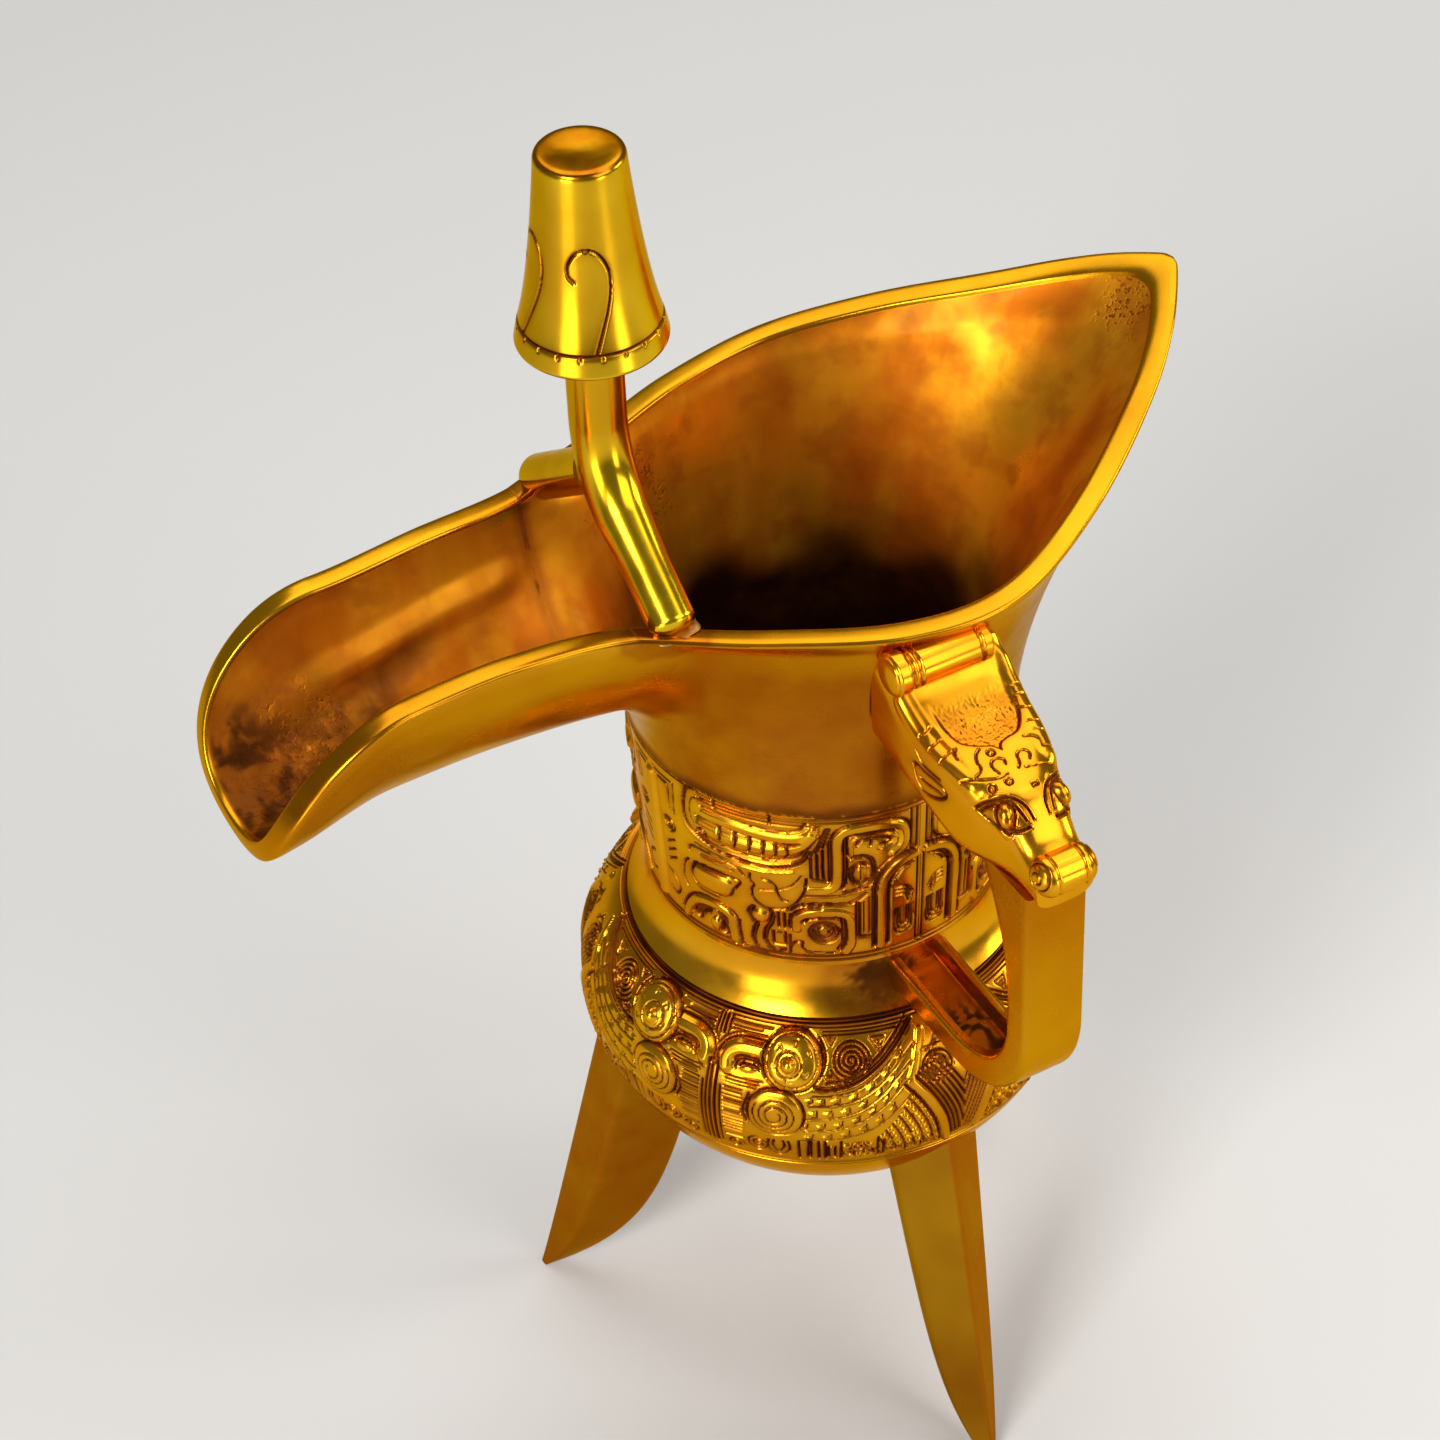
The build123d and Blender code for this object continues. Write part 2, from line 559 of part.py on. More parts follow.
os.makedirs("parts", exist_ok=True)
castings = [
    belly.part,
    neck.part,
    mouth.part,
    spout.part,
    handle_head.part,
    handle_loop.part,
    post_rod.part,
    post_far_leg.part,
    post_cap.part,
]
for piece in castings + legs:
    export_step(piece, f"parts/{piece.label}.step")
    print(piece.label, round(piece.volume), "mm3", "solids", len(piece.solids()))
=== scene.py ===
"""A gilt bronze jue dressed around its solids: smooth cast walls, carved bands, patina and studio light.

Shapes are written in millimetres from the body axis, the upright axis of the neck: +X to the tail,
-X to the spout, -Y to the handle, +Z up. Each surface is a function of two parameters on a grid.
"""

import logging
import math
from dataclasses import dataclass, field
from enum import Enum

import bmesh
import bpy
import numpy as np
from mathutils import Matrix, Vector

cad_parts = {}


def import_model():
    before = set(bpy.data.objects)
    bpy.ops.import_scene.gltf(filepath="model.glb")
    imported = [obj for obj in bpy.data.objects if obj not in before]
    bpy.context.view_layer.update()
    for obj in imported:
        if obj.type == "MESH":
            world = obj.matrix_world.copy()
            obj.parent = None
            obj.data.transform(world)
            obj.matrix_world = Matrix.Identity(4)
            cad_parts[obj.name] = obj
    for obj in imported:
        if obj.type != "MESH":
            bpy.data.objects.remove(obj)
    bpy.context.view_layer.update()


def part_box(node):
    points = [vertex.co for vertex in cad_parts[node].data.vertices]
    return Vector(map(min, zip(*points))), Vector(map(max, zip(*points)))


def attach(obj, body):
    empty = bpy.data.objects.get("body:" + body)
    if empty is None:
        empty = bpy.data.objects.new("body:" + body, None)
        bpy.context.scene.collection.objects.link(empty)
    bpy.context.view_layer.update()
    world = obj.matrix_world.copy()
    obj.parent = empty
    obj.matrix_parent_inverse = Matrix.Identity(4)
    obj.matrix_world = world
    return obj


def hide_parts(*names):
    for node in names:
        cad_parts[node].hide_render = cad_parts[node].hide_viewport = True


MM = 0.001
FULL_TURN = 2 * math.pi
TURNED_AXES = ([0, 1, 2], [1, 2, 0], [2, 0, 1])
LOG = logging.getLogger("jue")
Spot = tuple[float, float]
Place = tuple[float, float, float]
Points = tuple[tuple[float, ...], ...]
Array = np.ndarray
Socket = bpy.types.NodeSocket
Tree = bpy.types.NodeTree
Sockets = tuple[tuple[str, str], ...]


class Slot(Enum):
    """Material slots of the record."""

    BODY = "body_brass"
    CARVED = "carved_brass"
    LEG = "leg_brass"
    POST = "post_brass"


def ease(low: float, high: float, value: Array) -> Array:
    """Smooth step from 0 at low to 1 at high: 3 t^2 - 2 t^3 of the share of the way.

    Args:
        low: value where the step starts.
        high: value where it ends, which may be below low.
        value: the values to step.

    Returns:
        The step at each value.
    """
    share = np.clip((value - low) / (high - low), 0.0, 1.0)
    return share * share * (3.0 - 2.0 * share)


def through(points: Points, count: int) -> Array:
    """Smooth curve through points: a cubic in each span, sloped as its neighbours' chord.

    Args:
        points: the points to pass.
        count: how many points the answer has.

    Returns:
        Points along the curve, one per row.
    """
    knots = np.asarray(points, float)
    ends = np.vstack([2 * knots[0] - knots[1], knots, 2 * knots[-1] - knots[-2]])
    way = np.linspace(0, len(knots) - 1, count)
    span = np.minimum(way.astype(int), len(knots) - 2)
    f = (way - span)[:, None]
    a, b, c, d = (ends[span + k] for k in range(4))
    return 0.5 * (2 * b + (c - a) * f + (2 * a - 5 * b + 4 * c - d) * f**2 + (3 * b - a - 3 * c + d) * f**3)


def joined(*parts: Array) -> Array:
    """Coordinates put together as points."""
    return np.stack(parts, axis=-1)


def revolved(reach: Array, angle: Array, level: Array) -> Array:
    """Points at a reach from the upright axis, in the direction of an angle and at a level."""
    return joined(reach * np.cos(angle), reach * np.sin(angle), level + 0 * angle)


def angles(count: int) -> Array:
    """Evenly spaced angles of one full turn."""
    return np.arange(count) * FULL_TURN / count


def way_along(path: Array) -> Array:
    """Distance along a path from its start, at each of its points."""
    return np.concatenate([[0.0], np.cumsum(np.linalg.norm(np.diff(path, axis=0), axis=1))])


def evenly(path: Array, count: int) -> Array:
    """Points spaced evenly along a path, measured along its length."""
    length = way_along(path)
    way = np.linspace(0.0, length[-1], count)
    return np.stack([np.interp(way, length, path[:, k]) for k in range(path.shape[1])], axis=1)


def bezier(points: Points, count: int) -> Array:
    """Bezier curve by repeated straight blends between neighbouring control points."""
    way = np.linspace(0.0, 1.0, count)[:, None]
    blend = [np.asarray(point, float)[None, :] for point in points]
    while len(blend) > 1:
        blend = [a + (b - a) * way for a, b in zip(blend[:-1], blend[1:])]
    return blend[0]


def unit(vectors: Array) -> Array:
    """Vectors scaled to length one."""
    return vectors / np.maximum(np.linalg.norm(vectors, axis=-1, keepdims=True), 1e-9)


def ripple(points: Array, height: float, wave: float) -> Array:
    """Hand-finishing waviness: three slanted sine waves summed, at each point."""
    x, y, z = (points[..., k] * FULL_TURN / wave for k in range(3))
    sway = np.sin(x + 0.7 * y + 0.4 * z) + np.sin(0.6 * x - y + 0.8 * z + 1.3)
    return height * (sway + np.sin(0.5 * y + 1.1 * z - 0.9 * x + 2.6)) / 3.0


def crust(points: Array, height: float, wave: float) -> Array:
    """Casting crust: waviness whose place is itself shifted by broader waviness, so that no rows show."""
    bent = points + np.stack([ripple(points[..., axes], wave, 2.3 * wave) for axes in TURNED_AXES], axis=-1)
    return ripple(bent, height, wave)


@dataclass
class Sheet:
    """A surface on a grid of points, with named values at the points.

    Attributes:
        points: rows by columns by three coordinates.
        around: the last column joins the first.
        along: the last row joins the first.
        tones: rows by columns of a value from 0 to 1, by attribute name.
    """

    points: Array
    around: bool = False
    along: bool = False
    tones: dict[str, Array] = field(default_factory=dict)

    def quads(self) -> Array:
        """Corner numbers of each four-sided face, one face per row."""
        rows, columns = self.points.shape[:2]
        index = np.arange(rows * columns).reshape(rows, columns)
        if self.around:
            index = np.concatenate([index, index[:, :1]], axis=1)
        if self.along:
            index = np.concatenate([index, index[:1]], axis=0)
        corners = (index[:-1, :-1], index[:-1, 1:], index[1:, 1:], index[1:, :-1])
        return np.stack(corners, axis=-1).reshape(-1, 4)

    def normals(self) -> Array:
        """Unit cross product of the two grid directions at each point."""
        padded = self.points
        if self.around:
            padded = np.concatenate([padded[:, -1:], padded, padded[:, :1]], axis=1)
        across = np.gradient(padded, axis=1)
        down = np.gradient(padded, axis=0)
        cross = unit(np.cross(across, down))
        return cross[:, 1:-1] if self.around else cross


def fan(row: Array, **tones: Array) -> Sheet:
    """A flat cap from a closed row of points to its middle, with the row's tones all over."""
    points = np.stack([row, np.broadcast_to(row.mean(axis=0), row.shape)])
    return Sheet(points, around=True, tones={name: np.stack([tone, tone]) for name, tone in tones.items()})


@dataclass
class Foundry:
    """Turns sheets into pieces that ride on the vessel's one body.

    Attributes:
        axis: place of the body axis in the row's frame, in millimetres.
        weld: distance in metres under which points of neighbouring sheets are one.
        sliver: edge length in metres under which a face is dropped.
        crease: angle in degrees past which an edge stays sharp.
    """

    axis: Array
    weld: float = 2e-6
    sliver: float = 1e-7
    crease: float = 50.0

    @classmethod
    def from_frame(cls) -> "Foundry":
        """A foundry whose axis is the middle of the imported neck."""
        low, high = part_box("neck")
        return cls(np.array([(low.x + high.x) / 2, (low.y + high.y) / 2, 0.0]) / MM)

    def mesh(self, name: str, sheets: list[Sheet]) -> bpy.types.Mesh:
        """One closed mesh from sheets that meet at their edges.

        Args:
            name: the mesh's name.
            sheets: the sheets, whose shared edges have equal points.

        Returns:
            The welded mesh, smooth, with its faces pointing outwards.
        """
        starts = np.cumsum([0] + [sheet.points[..., 0].size for sheet in sheets])
        points = np.concatenate([sheet.points.reshape(-1, 3) for sheet in sheets])
        quads = np.concatenate([sheet.quads() + start for sheet, start in zip(sheets, starts)])
        mesh = bpy.data.meshes.new(name)
        mesh.vertices.add(len(points))
        mesh.vertices.foreach_set("co", ((points + self.axis) * MM).astype(np.float32).ravel())
        mesh.loops.add(quads.size)
        mesh.loops.foreach_set("vertex_index", quads.astype(np.int32).ravel())
        mesh.polygons.add(len(quads))
        mesh.polygons.foreach_set("loop_start", np.arange(0, quads.size, 4, dtype=np.int32))
        mesh.update(calc_edges=True)
        for tone in sorted({tone for sheet in sheets for tone in sheet.tones}):
            blank = [sheet.tones.get(tone, np.zeros(sheet.points.shape[:2])) for sheet in sheets]
            values = np.concatenate([value.ravel() for value in blank])
            mesh.attributes.new(tone, "FLOAT", "POINT").data.foreach_set("value", values.astype(np.float32))
        work = bmesh.new()
        work.from_mesh(mesh)
        bmesh.ops.remove_doubles(work, verts=work.verts, dist=self.weld)
        bmesh.ops.dissolve_degenerate(work, edges=work.edges, dist=self.sliver)
        bmesh.ops.recalc_face_normals(work, faces=work.faces)
        work.to_mesh(mesh)
        work.free()
        mesh.polygons.foreach_set("use_smooth", np.ones(len(mesh.polygons), bool))
        return mesh

    def cast(
        self, name: str, sheets: list[Sheet], nodes: tuple[str, ...], slot: Slot, finish: bpy.types.Material
    ) -> bpy.types.Object:
        """A finished piece in place of its solids.

        Args:
            name: the piece's name.
            sheets: its surfaces.
            nodes: the solids it stands for.
            slot: its material slot in the record; not used.
            finish: its material.

        Returns:
            The piece.
        """
        mesh = self.mesh(name, sheets)
        piece = bpy.data.objects.new(name, mesh)
        bpy.context.scene.collection.objects.link(piece)
        mesh.materials.append(finish)
        mesh.set_sharp_from_angle(angle=math.radians(self.crease))
        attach(piece, "root")
        if nodes:
            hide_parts(*nodes)
        LOG.info("%s: %d faces", name, len(mesh.polygons))
        return piece


class Mark(Enum):
    """Marks of the chaser's tools: width, height (a cut is below zero) and the flat share of the width."""

    DEEP = (1.0, -0.7, 0.2)
    LINE = (0.6, -0.46, 0.0)
    HAIR = (0.44, -0.3, 0.0)
    FINE = (0.36, -0.2, 0.0)
    GROUND = (1.6, -0.6, 0.55)
    BEAD = (0.7, 0.28, 0.0)
    BAND = (1.7, 0.36, 0.55)
    RIB = (2.8, 0.62, 0.3)


DEEP, LINE, HAIR, FINE, GROUND, BEAD, BAND, RIB = Mark


def smooth(*points: Spot) -> Array:
    """A drawn line that bends smoothly through its points."""
    return through(points, 9 * len(points))


def straight(*points: Spot) -> Array:
    """A drawn line with straight runs between its points."""
    return np.asarray(points, float)


def spiral(centre: Spot, radius: float, pitch: float, turns: float, start: float) -> Array:
    """A drawn spiral: the radius shrinks by the pitch at each turn.

    Args:
        centre: its middle.
        radius: its outer radius.
        pitch: distance between neighbouring turns; 0 draws a ring.
        turns: how many turns, anticlockwise, or clockwise below zero.
        start: direction of its outer end, in degrees.

    Returns:
        The points of the line.
    """
    way = np.linspace(0.0, abs(turns), int(28 * abs(turns)) + 2)
    angle = math.radians(start) + math.copysign(FULL_TURN, turns) * way
    reach = np.maximum(radius - pitch * way, 0.05)
    return joined(centre[0] + reach * np.cos(angle), centre[1] + reach * np.sin(angle))


def ring(centre: Spot, radius: float) -> Array:
    """A drawn ring."""
    return spiral(centre, radius, 0.0, 1.0, 0.0)


def boxed(centre: Spot, half_u: float, half_v: float) -> Array:
    """A drawn rectangle."""
    u, v = centre
    corners = ((-1, -1), (1, -1), (1, 1), (-1, 1), (-1, -1))
    return straight(*((u + a * half_u, v + b * half_v) for a, b in corners))


def beside(path: Array, gap: float) -> Array:
    """The line that keeps a gap to the left of a path."""
    slope = unit(np.gradient(path, axis=0))
    return path + gap * joined(-slope[:, 1], slope[:, 0])


@dataclass
class Carving:
    """Ornament on an unrolled patch: lines and bosses raised from it and lines cut into it.

    Attributes:
        u: place across the patch at each point of its grid.
        v: place up the patch at each point.
        full_recess: depth in millimetres at which the patina is full.
        spread: how many times the patina is averaged with its neighbours to make the stain.
    """

    u: Array
    v: Array
    full_recess: float = 0.26
    spread: int = 30

    def __post_init__(self) -> None:
        """Start with a plain patch."""
        self.raised = np.zeros(self.u.shape)
        self.cut = np.zeros(self.u.shape)

    def window(self, low: Array, high: Array) -> tuple[Array, ...]:
        """Grid places inside a box: rows and columns."""
        inside = (self.u > low[0]) & (self.u < high[0]) & (self.v > low[1]) & (self.v < high[1])
        return np.nonzero(inside)

    def gaps(self, path: Array, reach: float) -> tuple[tuple[Array, ...], Array]:
        """Grid places near a line, and their distances to it: the least over its straight steps."""
        place = self.window(path.min(axis=0) - reach, path.max(axis=0) + reach)
        step = np.diff(path, axis=0)
        du = self.u[place][:, None] - path[:-1, 0]
        dv = self.v[place][:, None] - path[:-1, 1]
        length = np.maximum((step**2).sum(axis=1), 1e-9)
        way = np.clip((du * step[:, 0] + dv * step[:, 1]) / length, 0.0, 1.0)
        square = (du - way * step[:, 0]) ** 2 + (dv - way * step[:, 1]) ** 2
        return place, np.sqrt(square.min(axis=1, initial=1e6))

    def draw(self, mark: Mark, *paths: Array) -> None:
        """Draw lines: the mark's height falls off as a smooth step of the distance to the line."""
        width, height, flat = mark.value
        half = width / 2
        field_ = self.cut if height < 0 else self.raised
        for path in paths:
            place, gap = self.gaps(path, half)
            field_[place] = np.maximum(field_[place], abs(height) * ease(half, half * flat, gap))

    def boss(self, centre: Spot, half_u: float, half_v: float, height: float, power: float) -> None:
        """Raise a rounded boss: the square root of one minus the power sum of the two distances.

        Args:
            centre: its middle.
            half_u: half its width.
            half_v: half its height on the patch.
            height: how far it stands out.
            power: 2 for an oval, more for a rounded box.
        """
        middle, half = np.array(centre), np.array((half_u, half_v))
        place = self.window(middle - half, middle + half)
        fall = np.abs((self.u[place] - centre[0]) / half_u) ** power
        fall = fall + np.abs((self.v[place] - centre[1]) / half_v) ** power
        bump = height * np.sqrt(np.clip(1.0 - fall, 0.0, 1.0))
        self.raised[place] = np.maximum(self.raised[place], bump)

    def sink(self, outline: Array, depth: float, slope: float, fade: Array) -> Array:
        """Lower the ground inside a closed outline, sloping in from its edge.

        Args:
            outline: the closed line.
            depth: how far the ground is lowered.
            slope: width of the slope.
            fade: factor on the depth at each point.

        Returns:
            The share of the depth at each point of the patch.
        """
        place, gap = self.gaps(outline, 0.0)
        u, v = self.u[place][:, None], self.v[place][:, None]
        a, b = outline[:-1], outline[1:]
        spans = (a[:, 1] > v) != (b[:, 1] > v)
        rise = np.where(np.abs(b[:, 1] - a[:, 1]) < 1e-9, 1e-9, b[:, 1] - a[:, 1])
        crossing = a[:, 0] + (v - a[:, 1]) * (b[:, 0] - a[:, 0]) / rise
        inside = (spans & (u < crossing)).sum(axis=1) % 2 == 1
        share = np.zeros(self.u.shape)
        share[place] = inside * ease(0.0, slope, gap) * fade[place]
        self.cut = np.maximum(self.cut, depth * share)
        return share

    def tones(self) -> dict[str, Array]:
        """Patina in the cuts, and the stain that spreads out of them, each from 0 to 1."""
        recess = ease(0.04, self.full_recess, self.cut)
        stain = recess
        for _ in range(self.spread):
            wide = np.pad(stain, 1, mode="edge")
            stain = (wide[:-2, 1:-1] + wide[2:, 1:-1] + wide[1:-1, :-2] + wide[1:-1, 2:] + stain) / 5
        return {"recess": recess, "stain": stain}

    def height(self) -> Array:
        """Height in millimetres at each point."""
        return self.raised - self.cut


def mirrored(part: Array, copies: int) -> Array:
    """A patch's values and their mirror image in turn, repeated around."""
    return np.tile(np.hstack([part, part[:, ::-1]]), (1, copies))


@dataclass
class MaskFrieze:
    """A quarter of the beast-mask frieze, from the nose (across 0) to the handle, by height."""

    width: float = 43.2

    def carve(self, patch: Carving) -> None:
        """Draw every part of the mask."""
        parts = (
            self.nose, self.horn, self.eye, self.jaw, self.leaf,
            self.hook, self.lower_spirals, self.sweep, self.borders,
        )
        for part in parts:
            part(patch)

    def nose(self, patch: Carving) -> None:
        """Nose ridge with its frame and slanted ticks."""
        patch.draw(RIB, straight((0, 98.5), (0, 122.5)))
        frame = straight((4.9, 117.6), (5.3, 123.9), (1, 123.9))
        patch.draw(
            LINE,
            frame,
            straight((3.9, 118.2), (4.1, 122.9), (1.6, 122.9)),
            *(straight((2.4, z), (4.4, z + 1.5)) for z in (106.6, 108.4, 110.2)),
            spiral((3.4, 114.6), 1.5, 0.62, 2.2, -90.0),
            smooth((1.8, 104.5), (3.4, 103.8), (4.4, 101.9), (3.6, 100.2), (2.2, 100.6)),
        )

    def horn(self, patch: Carving) -> None:
        """The long horn: a notched crescent under a bar, both running out to one raised tip."""
        frame = smooth(
            (10.6, 126.2), (8.4, 125.4), (7.5, 122.8), (7.2, 120), (7.6, 118), (8.8, 116.6), (11, 115.7),
            (14, 115.2), (18, 114.9), (21, 114.9), (24, 115.7), (25.8, 116.9), (26.8, 118.6),
        )
        patch.draw(DEEP, frame)
        patch.draw(
            HAIR,
            smooth((11, 124.4), (9.2, 123.6), (8.5, 121.6), (8.6, 119.4), (9.4, 117.6)),
            *(straight((10, z), (28.6, z)) for z in (125.3, 124.6, 123.9)),
        )
        patch.draw(
            BAND,
            smooth((11.2, 121.7), (16, 121.6), (21, 121.2), (24.6, 121.3), (26.6, 122.1), (27.6, 123.2)),
        )
        patch.draw(
            RIB,
            smooth((10.4, 118.9), (14, 118.7), (19, 118.5), (23, 118.9), (25.6, 120.2), (27.2, 122.2)),
        )
        notches = (13.7, 16.1, 18.3, 20.3, 22.1, 23.7)
        patch.draw(
            LINE,
            straight((13, 123.8), (13, 125.4)),
            straight((21.4, 123.8), (21.4, 125.4)),
            smooth((10.6, 123), (16, 122.8), (22, 122.5), (25.2, 123), (26.4, 124.4)),
            smooth((9.6, 120.4), (12, 120.7), (16, 120.5), (20, 120.2), (24, 120.2), (25.6, 120.8)),
            *(smooth((u - 0.3, 117.2), (u + 0.25, 118.6), (u, 120.2)) for u in notches),
            spiral((10.9, 118.3), 1.0, 0.5, 1.3, 200.0),
            smooth((9.6, 117), (14, 116.7), (20, 116.5), (24, 117.2), (26.2, 118.8), (28, 121.6)),
        )
        patch.draw(
            BEAD,
            smooth((10.2, 116.2), (15, 115.9), (21, 115.7), (24.4, 116.5)),
            smooth((9, 114.6), (14, 114.1), (20, 113.9), (24.6, 114.6)),
        )

    def eye(self, patch: Carving) -> None:
        """The boxed pupil under its lids, with the brow's corner lines."""
        patch.boss((11.8, 108.3), 3.7, 2.2, 0.85, 3.0)
        lid = smooth((7.6, 112), (7.8, 113), (9.2, 113.6), (14, 113.5), (16, 113), (17, 111.9))
        patch.draw(DEEP, smooth((8.6, 110), (8, 108.6), (8, 107.2), (8.6, 106.2)))
        patch.draw(
            LINE,
            lid,
            smooth((7.2, 110), (6.3, 108.8), (5.9, 107), (5.8, 105.4), (6.4, 104.1)),
            smooth((8.8, 110.3), (12, 110.6), (16.2, 110.4), (15.4, 108.4), (14.6, 106.7), (12.4, 105.8)),
        )
        patch.draw(
            HAIR,
            *(straight((9.6, z), (15.4, z - 0.2)) for z in (112.8, 112.2)),
            straight((9.4, 106), (11.8, 105.9)),
            straight((8.6, 105.2), (12.6, 105.1)),
        )

    def jaw(self, patch: Carving) -> None:
        """The fanged jaw: a raised arch over dark hollows, and the cheek's wavy edge."""
        arch = smooth(
            (5.8, 98), (6.8, 100.4), (8.4, 102.4), (10.6, 103.2), (12.8, 103.1), (14.4, 102.2),
            (14.7, 99.6), (14.9, 97.4),
        )
        patch.draw(BAND, arch)
        patch.draw(
            GROUND,
            smooth((8.4, 99.2), (9, 100.8), (10.4, 101.6)),
            smooth((13.2, 98.6), (13.3, 100.4), (12.7, 101.8)),
        )
        patch.draw(
            BEAD,
            smooth((8.9, 99.4), (9.7, 100.6), (10.9, 101.2)),
            straight((13.2, 99.2), (13, 101.2)),
        )
        patch.boss((11.8, 99.4), 1.0, 1.5, 0.7, 2.0)
        patch.boss((19.3, 104.4), 1.3, 1.3, 0.6, 2.0)
        patch.draw(
            DEEP,
            smooth(
                (18.2, 105.8), (17.5, 104.6), (17.9, 103.2), (18.6, 102.4), (18.2, 101), (17.9, 99),
                (18.3, 97.6),
            ),
            smooth(
                (20.6, 106), (21.1, 104.8), (20.8, 103), (20.1, 101.6), (19.8, 99.8), (20.2, 98.2),
                (21.4, 97.6), (22.6, 98),
            ),
        )
        patch.draw(
            LINE,
            beside(arch, 1.0),
            beside(arch, -1.0)[6:-16],
            smooth((15.8, 102), (15.9, 99), (16.1, 97.4), (17, 96.6), (19.8, 96.5)),
            smooth(
                (18, 112.6), (17.9, 111.5), (18.5, 110.5), (18.2, 109.5), (18.2, 108), (18.9, 107),
                (20.2, 106.1),
            ),
            boxed((22, 100.3), 0.9, 1.3),
            *(straight((u, 102.6), (u, 105.6)) for u in (22, 22.9, 23.8)),
            straight((23.6, 97.4), (23.6, 101.2)),
        )

    def leaf(self, patch: Carving) -> None:
        """The pointed ear beside the cheek."""
        patch.draw(
            HAIR,
            smooth((22.4, 110.5), (24, 111.5), (25, 112.7), (25.6, 113.8)),
            straight((19.4, 109.7), (21.6, 110.3)),
        )
        patch.draw(
            LINE,
            smooth((19.9, 112.2), (21, 111.9), (21.8, 110.9), (22.1, 109.4), (22.6, 108.5), (23.4, 108.3)),
            smooth((26.3, 113.2), (26, 110.8), (25.4, 109.2), (24.4, 107.6), (23.2, 106.7), (20.6, 106.2)),
        )

    def hook(self, patch: Carving) -> None:
        """The raised hook band with a spiral under its crook and nested grooves beside its stem."""
        band = smooth(
            (26.4, 110.9), (29, 111), (30.2, 111.6), (30.7, 113), (30.8, 117), (30.8, 120.6), (31.3, 122.2),
            (32.6, 122.9), (35.4, 123.1), (38.4, 122.7), (40, 121.7), (40.5, 119.8), (40.2, 118),
            (39, 116.9),
        )
        patch.draw(BAND, band)
        crook = smooth(
            (32.7, 116.8), (32.7, 119.6), (33.4, 121.1), (35.4, 121.4), (37.8, 121), (39.1, 120),
            (38.9, 118.7), (37.8, 118.1), (36.6, 118.4), (36.3, 119.5), (37.2, 120.1), (38, 119.6),
        )
        patch.draw(BEAD, crook)
        stem = smooth(
            (32.2, 117.4), (34.2, 117.3), (35.4, 116.5), (35.9, 115), (35.9, 112.8), (35.2, 111.4),
            (33.8, 110.6), (31.8, 110.3),
        )
        patch.draw(
            DEEP,
            beside(band, -1.05)[22:-30],
            stem,
            smooth(
                (34.9, 115.4), (33.9, 116), (32.9, 115.2), (32.6, 113.6), (33, 112.2), (33.9, 111.6),
                (34.8, 112.4),
            ),
        )
        patch.boss((34, 113.9), 0.8, 1.5, 0.45, 2.0)
        patch.draw(HAIR, straight((34, 112.9), (34, 114.9)))
        for gap in (0, 0.85, 1.7):
            nest = smooth(
                (27.0 + gap, 117.4 + gap), (27.0 + gap, 114.4), (27.2 + gap, 113.2 - 0.2 * gap),
                (29.2, 112.7),
            )
            patch.draw(
                LINE,
                nest,
                smooth(
                    (27.0 + gap, 117.8 + gap), (28.2 + 0.6 * gap, 120.4 + 0.6 * gap),
                    (29.2 + 0.3 * gap, 123.4),
                ),
            )
        patch.draw(
            LINE,
            beside(band, 1.0)[26:],
            beside(crook, -0.75)[10:],
            smooth((33.5, 119.6), (34.2, 120.5), (35.4, 120.4), (35.4, 119.2)),
            straight((29.6, 113), (29.6, 121)),
        )

    def lower_spirals(self, patch: Carving) -> None:
        """Grooves under the hook and the rounded spiral below them."""
        band = smooth(
            (24.6, 102.8), (24.8, 104.8), (26, 105.9), (28.6, 106.3), (31, 106.1), (32.3, 105),
            (32.6, 102.6), (32.5, 99.6), (31.8, 98),
        )
        patch.draw(BAND, band)
        patch.draw(GROUND, spiral((28.6, 102.2), 1.5, 0.0, 0.8, 40.0))
        patch.draw(BEAD, *(spiral((28.6, 102), r, 0.0, 0.62, 165.0) for r in (1.15, 1.85)))
        patch.draw(
            LINE,
            smooth((26, 109.6), (30, 109.6), (33, 110), (35, 110.6)),
            beside(band, 1.0)[:30],
            *(spiral((28.6, 102), r, 0.0, 0.62, 165.0) for r in (0.8, 1.5, 2.2)),
            smooth((23.6, 98.4), (24.4, 99.8), (25.4, 99.9), (25.4, 98.6), (26.6, 97.8), (30, 97.8)),
        )
        trough = straight((33.6, 107.6), (33.6, 100.6), (35.9, 100.4))
        patch.draw(
            DEEP,
            smooth((23.6, 106.6), (25, 107.6), (28, 108), (31.4, 107.8), (33.2, 108.2), (34.6, 109.4)),
            beside(band, -1.05)[8:],
            trough,
        )
        patch.draw(HAIR, straight((34.5, 101.4), (34.5, 107.8)), straight((35.3, 101.4), (35.3, 108.6)))

